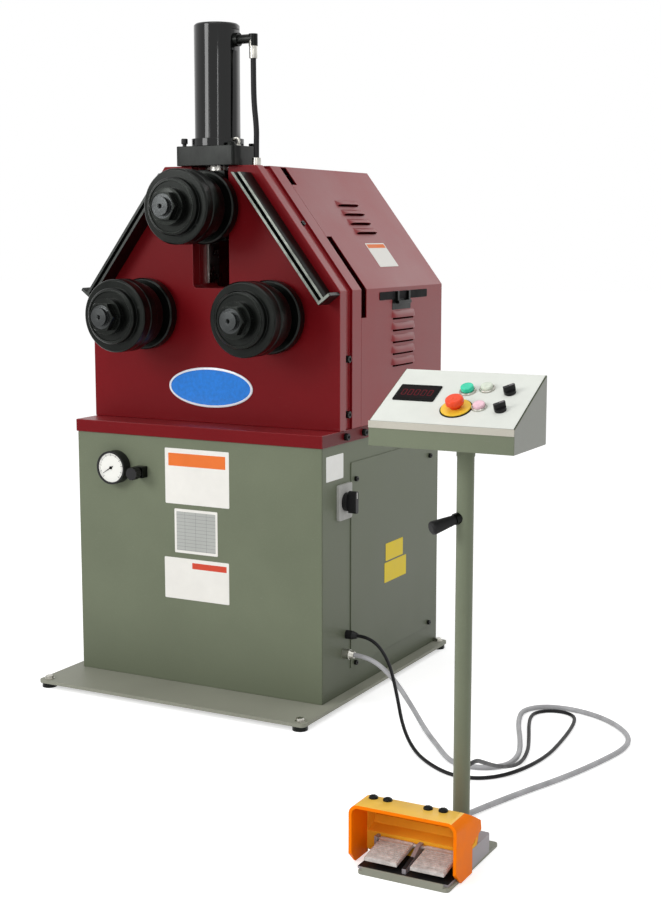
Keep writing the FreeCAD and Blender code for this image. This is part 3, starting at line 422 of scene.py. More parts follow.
def printed(name, colour, ruled=None, dirt=0.15):
    """Film or thin plate with faint smudges, ruled with blank rows if asked."""
    mat, tree, bsdf, add = shader(name)
    where = place(tree, add)
    smudge = noise(tree, add, where, 14.0, 6.0)
    body = ramp(tree, add, smudge, [(0.3, scaled(colour, 0.93)), (0.7, colour)])
    if ruled:
        split = add("ShaderNodeSeparateXYZ")
        tree.links.new(where, split.inputs[0])
        for axis, pitch, share in ruled:
            wave = combine(tree, add, "DIVIDE", split.outputs[axis], pitch)
            wave = combine(tree, add, "FRACT", wave, 0.0)
            line = combine(tree, add, "LESS_THAN", wave, share)
            line = combine(tree, add, "MULTIPLY", line, 0.55)
            body = blend_colours(tree, add, line, body, tint(95, 98, 96))
    tree.links.new(body, bsdf.inputs["Base Color"])
    tree.links.new(remap(tree, add, smudge, 0.3, 0.3 + dirt + 0.1, 0.3, 0.7),
                   bsdf.inputs["Roughness"])
    bsdf.inputs["Specular IOR Level"].default_value = 0.12
    relief(tree, add, bsdf, smudge, 0.05, 0.0004)
    return mat


MATERIALS = {}


def finish(name):
    """Finish of the machine by its name."""
    return MATERIALS[name]


# Meshes

def keep_mesh(obj, name, material=None):
    """Evaluated result of an object as a plain mesh object with no modifiers."""
    bpy.context.view_layer.update()
    graph = bpy.context.evaluated_depsgraph_get()
    mesh = bpy.data.meshes.new_from_object(obj.evaluated_get(graph))
    old = obj.data
    plain = bpy.data.objects.new(name, mesh)
    bpy.context.scene.collection.objects.link(plain)
    bpy.data.objects.remove(obj)
    if old.users == 0 and isinstance(old, bpy.types.Mesh):
        bpy.data.meshes.remove(old)
    mesh.name = name
    if material:
        mesh.materials.clear()
        mesh.materials.append(material)
    return plain


def rounded(obj, width, segments=2, angle=30.0):
    """Bevel with hardened normals on the sharp edges of an object."""
    obj.data.shade_smooth()
    obj.data.set_sharp_from_angle(angle=math.radians(angle))
    bevel = obj.modifiers.new("Edge", "BEVEL")
    bevel.width = width
    bevel.segments = segments
    bevel.limit_method = "ANGLE"
    bevel.angle_limit = math.radians(angle)
    bevel.harden_normals = True
    bevel.use_clamp_overlap = True
    return obj


def piece(name, bm, materials, body, width=0.0, segments=2, angle=30.0):
    """Object from a bmesh, with rounded edges, riding on a body."""
    mesh = bpy.data.meshes.new(name)
    bm.normal_update()
    bm.to_mesh(mesh)
    bm.free()
    for material in materials:
        mesh.materials.append(material)
    obj = bpy.data.objects.new(name, mesh)
    bpy.context.scene.collection.objects.link(obj)
    if width > 0:
        rounded(obj, width, segments, angle)
        obj.name = name + "_rough"
        obj = keep_mesh(obj, name)
    else:
        mesh.shade_smooth()
        mesh.set_sharp_from_angle(angle=math.radians(angle))
    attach(obj, body)
    return obj


BODY_OF = {node: body for body, members in
           frame["record"]["behaviour"]["bodies"].items() for node in members}


def refined(node, material, width, segments=2, angle=30.0):
    """Copy of a CAD node with joined faces and rounded edges, which stands for it."""
    bm = bmesh.new()
    bm.from_mesh(NODES[node].data)
    bmesh.ops.remove_doubles(bm, verts=bm.verts, dist=2e-5)
    bmesh.ops.dissolve_limit(bm, angle_limit=math.radians(0.8), verts=bm.verts,
                             edges=bm.edges)
    name = node + "_dressed"
    obj = piece(name, bm, [material], BODY_OF[node], width, segments, angle)
    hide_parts(node)
    return obj


def tone_faces(obj, material, picked):
    """Second material on the faces that a test on centre and normal picks."""
    obj.data.materials.append(material)
    index = len(obj.data.materials) - 1
    for face in obj.data.polygons:
        if picked(face.center, face.normal):
            face.material_index = index
    return obj


def front_tone(obj):
    """Darker, less glossy red on the faces that look to the front: a shaded copy of the red,
    painted shade.
    """
    return tone_faces(obj, finish("red_front"), lambda at, normal: normal.y < -0.9)


def add_block(bm, low, high, matrix=None, index=0):
    """Block between two corners, turned by a matrix."""
    made = bmesh.ops.create_cube(bm, size=1.0)["verts"]
    low, high = Vector(low), Vector(high)
    middle = (low + high) / 2
    size = high - low
    for vert in made:
        co = Vector(vert.co[i] * size[i] + middle[i] for i in range(3))
        vert.co = matrix @ co if matrix else co
    for face in {f for v in made for f in v.link_faces}:
        face.material_index = index
    return made


def add_lathe(bm, profile, matrix, sides=64, indices=None):
    """Profile of (radius, height) points turned about Z, then placed by a matrix."""
    rings = []
    for radius, height in profile:
        if radius < 1e-7:
            rings.append([bm.verts.new(matrix @ Vector((0, 0, height)))])
            continue
        ring = []
        for i in range(sides):
            a = 2 * math.pi * i / sides
            ring.append(bm.verts.new(matrix @ Vector((radius * math.cos(a),
                                                      radius * math.sin(a), height))))
        rings.append(ring)
    for k in range(len(rings) - 1):
        lower, upper = rings[k], rings[k + 1]
        for i in range(sides):
            j = (i + 1) % sides
            if len(lower) == 1 and len(upper) == 1:
                continue
            if len(lower) == 1:
                face = bm.faces.new((lower[0], upper[j], upper[i]))
            elif len(upper) == 1:
                face = bm.faces.new((lower[i], lower[j], upper[0]))
            else:
                face = bm.faces.new((lower[i], lower[j], upper[j], upper[i]))
            face.material_index = indices[k] if indices else 0
    return rings


def facing(point, direction):
    """Matrix that carries +Z at the origin to a direction at a point."""
    turn = Vector((0, 0, 1)).rotation_difference(Vector(direction).normalized())
    return Matrix.Translation(Vector(point)) @ turn.to_matrix().to_4x4()


def close_up(bm):
    """Join doubles and turn all faces outwards."""
    bmesh.ops.remove_doubles(bm, verts=bm.verts, dist=1e-6)
    bmesh.ops.recalc_face_normals(bm, faces=bm.faces)


def add_plate(bm, centre, right, up, size, thick, corner, index=0):
    """Plate with rounded corners, its back at the centre and its face outwards."""
    centre, right, up = Vector(centre), Vector(right), Vector(up)
    out = right.cross(up)
    half_w, half_h = size[0] / 2 - corner, size[1] / 2 - corner
    ring = []
    for k, (sx, sy) in enumerate(((1, 1), (-1, 1), (-1, -1), (1, -1))):
        for i in range(7):
            a = math.pi / 2 * (k + i / 6)
            ring.append((sx * half_w + corner * math.cos(a),
                         sy * half_h + corner * math.sin(a)))
    back = [bm.verts.new(centre + right * x + up * y) for x, y in ring]
    face = [bm.verts.new(v.co + out * thick) for v in back]
    made = [bm.faces.new(face), bm.faces.new(back[::-1])]
    for i in range(len(ring)):
        j = (i + 1) % len(ring)
        made.append(bm.faces.new((back[i], back[j], face[j], face[i])))
    for one in made:
        one.material_index = index
    return made


# Repeats by geometry nodes

def new_tree(name, inputs):
    """Node tree with a geometry in and out and named inputs."""
    tree = bpy.data.node_groups.new(name, "GeometryNodeTree")
    face = tree.interface
    face.new_socket(name="Geometry", in_out="INPUT", socket_type="NodeSocketGeometry")
    for label, kind, value in inputs:
        socket = face.new_socket(name=label, in_out="INPUT", socket_type=kind)
        if value is not None:
            socket.default_value = value
    face.new_socket(name="Geometry", in_out="OUTPUT", socket_type="NodeSocketGeometry")
    return tree, tree.nodes.new("NodeGroupInput"), tree.nodes.new("NodeGroupOutput")


def close_tree(tree, source, outlet, group_in):
    """End a tree in Realize Instances and Set Material."""
    real = tree.nodes.new("GeometryNodeRealizeInstances")
    paint = tree.nodes.new("GeometryNodeSetMaterial")
    tree.links.new(source, real.inputs["Geometry"])
    tree.links.new(real.outputs["Geometry"], paint.inputs["Geometry"])
    tree.links.new(group_in.outputs["Material"], paint.inputs["Material"])
    tree.links.new(paint.outputs["Geometry"], outlet.inputs["Geometry"])


def screw_tree():
    """Screw heads on the points of a mesh, all facing one way."""
    tree, gin, gout = new_tree("screw_pattern", [
        ("Screw", "NodeSocketObject", None), ("Facing", "NodeSocketVector", (0, 0, 1)),
        ("Size", "NodeSocketFloat", 1.0), ("Spin", "NodeSocketFloat", 0.6),
        ("Seed", "NodeSocketInt", 3), ("Material", "NodeSocketMaterial", None)])
    head = tree.nodes.new("GeometryNodeObjectInfo")
    tree.links.new(gin.outputs["Screw"], head.inputs["Object"])
    align = tree.nodes.new("FunctionNodeAlignRotationToVector")
    align.axis = "Z"
    tree.links.new(gin.outputs["Facing"], align.inputs["Vector"])
    chance = tree.nodes.new("FunctionNodeRandomValue")
    chance.data_type = "FLOAT"
    tree.links.new(gin.outputs["Spin"], chance.inputs[3])
    tree.links.new(gin.outputs["Seed"], chance.inputs["Seed"])
    spin = tree.nodes.new("FunctionNodeAxisAngleToRotation")
    tree.links.new(chance.outputs[1], spin.inputs["Angle"])
    turn = tree.nodes.new("FunctionNodeRotateRotation")
    turn.rotation_space = "LOCAL"
    tree.links.new(align.outputs["Rotation"], turn.inputs["Rotation"])
    tree.links.new(spin.outputs["Rotation"], turn.inputs["Rotate By"])
    put = tree.nodes.new("GeometryNodeInstanceOnPoints")
    tree.links.new(gin.outputs["Geometry"], put.inputs["Points"])
    tree.links.new(head.outputs["Geometry"], put.inputs["Instance"])
    tree.links.new(turn.outputs["Rotation"], put.inputs["Rotation"])
    tree.links.new(gin.outputs["Size"], put.inputs["Scale"])
    close_tree(tree, put.outputs["Instances"], gout, gin)
    return tree


def row_tree():
    """Copies of one form in a row, a pitch apart."""
    tree, gin, gout = new_tree("form_row", [
        ("Form", "NodeSocketObject", None), ("Count", "NodeSocketInt", 4),
        ("Start", "NodeSocketVector", (0, 0, 0)), ("Pitch", "NodeSocketVector", (0, 0, 0.03)),
        ("Material", "NodeSocketMaterial", None)])
    form = tree.nodes.new("GeometryNodeObjectInfo")
    tree.links.new(gin.outputs["Form"], form.inputs["Object"])
    line = tree.nodes.new("GeometryNodeMeshLine")
    line.mode = "OFFSET"
    tree.links.new(gin.outputs["Count"], line.inputs["Count"])
    tree.links.new(gin.outputs["Start"], line.inputs["Start Location"])
    tree.links.new(gin.outputs["Pitch"], line.inputs["Offset"])
    put = tree.nodes.new("GeometryNodeInstanceOnPoints")
    tree.links.new(line.outputs["Mesh"], put.inputs["Points"])
    tree.links.new(form.outputs["Geometry"], put.inputs["Instance"])
    close_tree(tree, put.outputs["Instances"], gout, gin)
    return tree


def dial_tree():
    """Marks round a dial, long at every fifth, facing -Y."""
    tree, gin, gout = new_tree("dial_marks", [
        ("Count", "NodeSocketInt", 51), ("Radius", "NodeSocketFloat", 0.036),
        ("Sweep", "NodeSocketFloat", 4.712), ("Centre", "NodeSocketVector", (0, 0, 0)),
        ("Length", "NodeSocketFloat", 0.004), ("Width", "NodeSocketFloat", 0.0005),
        ("Material", "NodeSocketMaterial", None)])
    line = tree.nodes.new("GeometryNodeMeshLine")
    line.mode = "OFFSET"
    line.inputs["Offset"].default_value = (0, 0, 0)
    tree.links.new(gin.outputs["Count"], line.inputs["Count"])
    index = tree.nodes.new("GeometryNodeInputIndex")

    def step(operation, first, second):
        node = tree.nodes.new("ShaderNodeMath")
        node.operation = operation
        for i, value in enumerate((first, second)):
            if isinstance(value, bpy.types.NodeSocket):
                tree.links.new(value, node.inputs[i])
            else:
                node.inputs[i].default_value = value
        return node.outputs[0]

    gaps = step("SUBTRACT", gin.outputs["Count"], 1.0)
    share = step("DIVIDE", index.outputs[0], gaps)
    angle = step("MULTIPLY", step("SUBTRACT", share, 0.5), gin.outputs["Sweep"])
    fifth = step("COMPARE", step("MODULO", index.outputs[0], 5.0), 0.0)
    long_mark = step("ADD", step("MULTIPLY", fifth, 0.9), 1.0)
    out_x = step("MULTIPLY", step("SINE", angle, 0.0), gin.outputs["Radius"])
    out_z = step("MULTIPLY", step("COSINE", angle, 0.0), gin.outputs["Radius"])
    where = tree.nodes.new("ShaderNodeCombineXYZ")
    tree.links.new(out_x, where.inputs["X"])
    tree.links.new(out_z, where.inputs["Z"])
    shift = tree.nodes.new("ShaderNodeVectorMath")
    shift.operation = "ADD"
    tree.links.new(where.outputs[0], shift.inputs[0])
    tree.links.new(gin.outputs["Centre"], shift.inputs[1])
    move = tree.nodes.new("GeometryNodeSetPosition")
    tree.links.new(line.outputs["Mesh"], move.inputs["Geometry"])
    tree.links.new(shift.outputs[0], move.inputs["Position"])
    size = tree.nodes.new("ShaderNodeCombineXYZ")
    tree.links.new(gin.outputs["Width"], size.inputs["X"])
    size.inputs["Y"].default_value = 0.0003
    tree.links.new(gin.outputs["Length"], size.inputs["Z"])
    mark = tree.nodes.new("GeometryNodeMeshCube")
    tree.links.new(size.outputs[0], mark.inputs["Size"])
    spin = tree.nodes.new("ShaderNodeCombineXYZ")
    tree.links.new(angle, spin.inputs["Y"])
    stretch = tree.nodes.new("ShaderNodeCombineXYZ")
    tree.links.new(long_mark, stretch.inputs["X"])
    stretch.inputs["Y"].default_value = 1.0
    tree.links.new(long_mark, stretch.inputs["Z"])
    put = tree.nodes.new("GeometryNodeInstanceOnPoints")
    tree.links.new(move.outputs["Geometry"], put.inputs["Points"])
    tree.links.new(mark.outputs["Mesh"], put.inputs["Instance"])
    turn = tree.nodes.new("FunctionNodeEulerToRotation")
    tree.links.new(spin.outputs[0], turn.inputs[0])
    tree.links.new(turn.outputs[0], put.inputs["Rotation"])
    tree.links.new(stretch.outputs[0], put.inputs["Scale"])
    close_tree(tree, put.outputs["Instances"], gout, gin)
    return tree


TREES = {}


def grow(name, kind, points, values, body, smooth=35.0):
    """Run a tree on a set of points and keep the result as one plain piece."""
    if kind not in TREES:
        TREES[kind] = {"screws": screw_tree, "row": row_tree, "dial": dial_tree}[kind]()
    tree = TREES[kind]
    mesh = bpy.data.meshes.new(name + "_points")
    mesh.from_pydata([Vector(p) for p in points], [], [])
    seed = bpy.data.objects.new(name + "_points", mesh)
    bpy.context.scene.collection.objects.link(seed)
    modifier = seed.modifiers.new("Pattern", "NODES")
    modifier.node_group = tree
    for socket in tree.interface.items_tree:
        if socket.in_out == "INPUT" and socket.name in values:
            modifier[socket.identifier] = values[socket.name]
    obj = keep_mesh(seed, name)
    obj.data.shade_smooth()
    obj.data.set_sharp_from_angle(angle=math.radians(smooth))
    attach(obj, body)
    return obj


PATTERNS = {}


def pattern_object(name, bm, angle=32.0):
    """Hidden form that a tree repeats; it is removed at the end."""
    mesh = bpy.data.meshes.new(name)
    bm.to_mesh(mesh)
    bm.free()
    mesh.shade_smooth()
    mesh.set_sharp_from_angle(angle=math.radians(angle))
    obj = bpy.data.objects.new(name, mesh)
    bpy.context.scene.collection.objects.link(obj)
    obj.hide_render = True
    PATTERNS[name] = obj
    return obj


def cap_screw():
    """Socket head cap screw of radius 1 mm, head on the plane z = 0."""
    bm = bmesh.new()
    s = MM
    add_lathe(bm, [(1.0 * s, -0.05 * s), (1.0 * s, 0.98 * s), (0.93 * s, 1.1 * s),
                   (0.58 * s, 1.1 * s)], Matrix(), 28)
    rim = [v for v in bm.verts if abs(v.co.z - 1.1 * s) < 1e-7 and v.co.xy.length < 0.6 * s]
    rim.sort(key=lambda v: math.atan2(v.co.y, v.co.x))
    hexes = []
    for i in range(len(rim)):
        a = math.atan2(rim[i].co.y, rim[i].co.x)
        sector = (a + math.pi / 6) % (math.pi / 3) - math.pi / 6
        r = 0.46 * s / math.cos(sector)
        hexes.append(bm.verts.new((r * math.cos(a), r * math.sin(a), 1.1 * s)))
    low = [bm.verts.new((v.co.x, v.co.y, 0.45 * s)) for v in hexes]
    for i in range(len(rim)):
        j = (i + 1) % len(rim)
        bm.faces.new((rim[i], rim[j], hexes[j], hexes[i]))
        bm.faces.new((hexes[i], hexes[j], low[j], low[i]))
    bm.faces.new(low)
    close_up(bm)
    return pattern_object("cap_screw_form", bm)


def pan_screw():
    """Cross-recessed pan head of radius 1 mm, head on the plane z = 0."""
    bm = bmesh.new()
    s = MM
    add_lathe(bm, [(1.0 * s, -0.05 * s), (1.0 * s, 0.2 * s), (0.9 * s, 0.42 * s),
                   (0.62 * s, 0.58 * s), (0.3 * s, 0.64 * s), (0.0, 0.66 * s)],
              Matrix(), 28)
    for turn in (0.0, math.pi / 2):
        bar = Matrix.Rotation(turn, 4, "Z")
        add_block(bm, (-0.48 * s, -0.09 * s, 0.5 * s), (0.48 * s, 0.09 * s, 0.675 * s), bar, 0)
    return pattern_object("pan_screw_form", bm)


def hex_bolt():
    """Hexagon bolt head on its washer, radius 1 mm, on the plane z = 0."""
    bm = bmesh.new()
    s = MM
    add_lathe(bm, [(1.25 * s, -0.05 * s), (1.25 * s, 0.16 * s), (1.19 * s, 0.2 * s),
                   (0.9 * s, 0.2 * s)], Matrix(), 28)
    add_lathe(bm, [(1.0 * s, 0.15 * s), (1.0 * s, 0.74 * s), (0.84 * s, 0.84 * s),
                   (0.0, 0.84 * s)], Matrix.Rotation(math.pi / 6, 4, "Z"), 6)
    return pattern_object("hex_bolt_form", bm)


def louvre_form(name, length, height, rise, along, up, out):
    """Pressed louvre: a hood that rises from its upper line to an open lower lip."""
    bm = bmesh.new()
    across, down = 28, 8
    grid = []
    for i in range(across + 1):
        u = -1 + 2 * i / across
        end = (1 - abs(u) ** 5) ** 0.5
        row = []
        for j in range(down + 1):
            v = j / down
            lift = rise * math.sin(v * math.pi / 2) ** 0.85 * end
            row.append(bm.verts.new(along * (u * length / 2) - up * (v * height)
                                    + out * lift))
        grid.append(row)
    for i in range(across):
        for j in range(down):
            bm.faces.new((grid[i][j], grid[i][j + 1], grid[i + 1][j + 1], grid[i + 1][j]))
    bm.normal_update()
    if sum((f.normal for f in bm.faces), Vector()).dot(out) < 0:
        bmesh.ops.reverse_faces(bm, faces=bm.faces)
    bmesh.ops.solidify(bm, geom=bm.faces[:], thickness=0.0011)
    bmesh.ops.recalc_face_normals(bm, faces=bm.faces)
    return pattern_object(name, bm, 50.0)


# Operators

class BenderStep(bpy.types.Operator):
    """Base of the steps: settings by short names."""

    bl_options = {"REGISTER"}

    @property
    def colours(self):
        return bpy.context.scene.bender_finish

    @property
    def details(self):
        return bpy.context.scene.bender_detail

    @property
    def studio(self):
        return bpy.context.scene.bender_studio


class BENDER_OT_finishes(BenderStep):
    """Make the finishes of paint, steel, plastic, film and rubber."""

    bl_idname = "bender.finishes"
    bl_label = "Make finishes"

    def execute(self, context):
        c = self.colours
        wear = c.wear
        M = MATERIALS
        floor_z = CABINET[0].z
        # Painted shade: the olive darkens towards the floor.
        low = (floor_z, 0.25, scaled(c.olive, 0.7))
        M["olive"] = painted("olive_paint", c.olive, 0.42, 0.0, 0.3, wear * 0.5, low, 0.1)
        # olive_side is a darker copy of the olive for the right-hand sheets, with stronger
        # painted shade towards the floor.
        M["olive_side"] = painted("olive_side", scaled(c.olive, 0.92), 0.42, 0.0, 0.3,
                                  wear * 0.5, (floor_z, 0.7, scaled(c.olive, 0.34)), 0.24)
        M["olive_stand"] = painted("stand_paint", scaled(c.olive, 1.05), 0.40, 0.0, 0.25,
                                   wear * 0.5, None, 0.2)
        M["olive_dark"] = painted("pole_shade", scaled(c.olive, 0.6), 0.5, 0.0, 0.25,
                                  wear * 0.3, None, 0.1)
        # stand_side: a lighter copy of the stand paint for faces that look to the right,
        # painted light.
        M["stand_side"] = painted("stand_side", tint(138, 140, 132), 0.40, 0.0, 0.25,
                                  wear * 0.5, None, 0.4)
        M["cream"] = painted("cream_lip", tint(190, 186, 174), 0.45, 0.0, 0.1, 0.1, None,
                             0.1)
        M["base"] = painted("base_paint", tint(140, 141, 128), 0.5, 0.0, 0.3, wear, None,
                            0.2)
        M["red"] = painted("red_paint", c.crimson, 0.40, 0.1, 0.22, wear * 0.2)
        # red_front: a darker copy of the red for faces that look to the front, painted shade.
        M["red_front"] = painted("red_front", scaled(c.crimson, 0.74), 0.36, 0.0, 0.2,
                                 wear * 0.15, None, 0.1)
        # red_side: a still darker copy of the red for the ledge's right-hand faces, painted
        # shade.
        M["red_side"] = painted("red_side", scaled(c.crimson, 0.5), 0.42, 0.0, 0.2,
                                wear * 0.15, None, 0.22)
        for name in ("left", "right", "top"):
            low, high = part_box("roll_" + name)
            centre = (low + high) / 2
            M["roll_" + name] = turned_steel("black_roll_" + name, c.steel_black, centre)
            M["nut_" + name] = turned_steel("roll_nut_" + name, c.steel_black, centre,
                                            0.9, 0.24, 1400.0, 1.7)
            M["shaft_" + name] = turned_steel("shaft_" + name, tint(62, 64, 64),
                                              centre, 1.0, 0.24, 1700.0)
        M["black_steel"] = ground_steel("black_steel", c.steel_black, (20, 20, 3), 0.8,
                                        0.34, 0.12)
        M["cylinder"] = ground_steel("cylinder_black", tint(11, 12, 12), (60, 60, 1.5),
                                     0.2, 0.16, 0.72, 0.0)
        M["bright"] = ground_steel("bright_steel", c.steel, (4, 60, 4), 1.0, 0.28)
        M["bar_shade"] = ground_steel("bar_shade", tint(62, 64, 62), (4, 60, 4), 1.0, 0.35)
        M["bar_lip"] = ground_steel("bar_lip", tint(122, 127, 120), (4, 60, 4), 0.9, 0.34)
        M["zinc"] = ground_steel("zinc_plate", tint(196, 194, 186), (8, 8, 8), 1.0, 0.3)
        M["brass"] = ground_steel("brass_fitting", tint(206, 198, 160), (8, 8, 8), 1.0, 0.24)
        M["black_plastic"] = moulded("black_plastic", tint(24, 24, 25), 0.4, 0.2, 0.1)
        M["rubber"] = moulded("black_rubber", tint(26, 26, 27), 0.5, 0.25)
        M["cable_black"] = moulded("cable_black", tint(20, 20, 22), 0.42, 0.15)
        M["cable_grey"] = moulded("cable_grey", tint(176, 176, 178), 0.45, 0.2)
        M["grey_plastic"] = moulded("grey_plastic", tint(178, 178, 174), 0.45, 0.15)
        M["white_plastic"] = moulded("white_plastic", tint(226, 226, 220), 0.4, 0.1, 0.1,
                                     700.0, 0.06)
        M["deck"] = printed("deck_film", c.deck)
        M["orange"] = moulded("orange_guard", c.orange, 0.36, 0.12, 0.0, 380.0, 0.07, 0.03)
        # guard_inside and guard_top are lighter copies of the guard's orange: painted light on
        # the inner faces, painted highlight on the top.
        M["orange_inner"] = moulded("guard_inside", tint(255, 186, 54), 0.4, 0.12, 0.0,
                                    380.0, 0.07, 0.03)
        M["orange_lit"] = moulded("guard_top", tint(255, 202, 84), 0.34, 0.12, 0.0, 380.0,
                                  0.07, 0.3)
        M["yellow"] = moulded("yellow_ring", tint(238, 196, 58), 0.35, 0.05, 0.1, 500.0, 0.08)
        M["red_button"] = moulded("red_button", tint(236, 72, 30), 0.28, 0.0, 0.2, 500.0,
                                  0.04)
        # Painted glow: the green button is a button, not a lamp, yet emits a little light.
        M["green_button"] = lens("green_button", tint(48, 196, 158), 0.12)
        M["lamp_clear"] = lens("lamp_clear", tint(214, 222, 206))
        M["lamp_pink"] = lens("lamp_pink", tint(236, 196, 208))
        M["treadle"] = ground_steel("cast_treadle", tint(208, 202, 198), (9, 9, 9), 0.1,
                                    0.45, 0.0)
        M["cast_grey"] = painted("cast_grey", tint(150, 144, 148), 0.5, 0.1, 0.5, wear)
        M["badge_blue"] = lens("badge_enamel", c.badge)
        M["badge_rim"] = moulded("badge_rim", tint(228, 232, 238), 0.25, 0.04, 0.5, 300.0,
                                 0.03)
        M["label_white"] = printed("label_white", tint(236, 234, 228))
        M["label_bright"] = printed("label_bright", tint(250, 250, 246))
        M["label_orange"] = printed("label_orange", tint(232, 120, 56))
        M["label_red"] = printed("label_red", tint(208, 78, 58))
        M["label_yellow"] = printed("label_yellow", tint(240, 212, 66))
        M["label_silver"] = printed("label_silver", tint(178, 180, 176), [
            ("Z", 0.0105, 0.10), ("X", 0.0372, 0.03)])
        M["dial"] = printed("dial_white", tint(238, 238, 232))
        M["ink"] = moulded("dial_ink", tint(18, 18, 18), 0.6, 0.0, gloss=0.05)
        M["display"] = moulded("display_window", tint(16, 7, 9), 0.3, 0.0, gloss=0.04)
        M["segments"] = moulded("display_segments", tint(112, 22, 34), 0.3, 0.0, gloss=0.04)
        # Near-black finish for flat pieces that stand where there is only shade: painted
        # shade.
        M["shade_black"] = moulded("painted_recess_shade", tint(16, 14, 15), 0.8, 0.1)
        return {"FINISHED"}


class BENDER_OT_fasteners(BenderStep):
    """Make the screw heads that the patterns repeat."""

    bl_idname = "bender.fasteners"
    bl_label = "Make screw forms"

    def execute(self, context):
        cap_screw()
        pan_screw()
        hex_bolt()
        return {"FINISHED"}


class BENDER_OT_cabinet(BenderStep):
    """Dress the base plate, the cabinet sheets, the side panel and the ledge."""

    bl_idname = "bender.cabinet"
    bl_label = "Dress cabinet"

    def execute(self, context):
        plate = refined("base_plate", finish("base"), 0.0018)
        underside = PLATE[1].z - PLATE_T - 0.0001
        tone_faces(plate, finish("black_steel"), lambda at, normal: at.z < underside)
        corners = [(x, y, PLATE[1].z) for x in (-ANCHOR_X, ANCHOR_X)
                   for y in (-ANCHOR_Y, ANCHOR_Y)]
        grow("levelling_bolts", "screws", corners,
             {"Screw": PATTERNS["hex_bolt_form"], "Facing": (0, 0, 1), "Size": 12.0,
              "Seed": 2, "Spin": 1.0, "Material": finish("zinc")},
             "machine")
        for node in ("cabinet_front", "cabinet_rear", "cabinet_left"):
            refined(node, finish("olive"), 0.0016)
        # The right-hand sheet and the side panel take olive_side, painted shade.
        refined("cabinet_right", finish("olive_side"), 0.0016)
        refined("side_panel", finish("olive_side"), 0.001)
        # The ledge's front faces take red_front and its right-hand faces red_side, both
        # painted shade.
        ledge = front_tone(refined("ledge", finish("red"), 0.0025, 3))
        tone_faces(ledge, finish("red_side"), lambda at, normal: normal.x > 0.9)
        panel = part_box("side_panel")
        x = panel[1].x
        corners = [(x, panel[0].y + 0.026, panel[1].z - 0.05),
                   (x, panel[1].y - 0.026, panel[1].z - 0.05),
                   (x, panel[1].y - 0.026, panel[0].z + 0.012),
                   (x, panel[0].y + 0.026, panel[0].z + 0.012)]
        grow("panel_screws", "screws", corners,
             {"Screw": PATTERNS["cap_screw_form"], "Facing": (1, 0, 0),
              "Size": self.details.panel_screw_r / MM, "Material": finish("black_steel")},
             "machine")
        ledge_x = LEDGE[1].x
        bolts = [(ledge_x, FRONT_Y + 0.136, 0.5 * (LEDGE[0].z + LEDGE[1].z)),
                 (ledge_x, FRONT_Y + 0.251, 0.5 * (LEDGE[0].z + LEDGE[1].z))]
        grow("ledge_bolts", "screws", bolts,
             {"Screw": PATTERNS["cap_screw_form"], "Facing": (1, 0, 0),
              "Size": self.details.cap_screw_r / MM, "Seed": 5,
              "Material": finish("black_steel")},
             "machine")
        return {"FINISHED"}


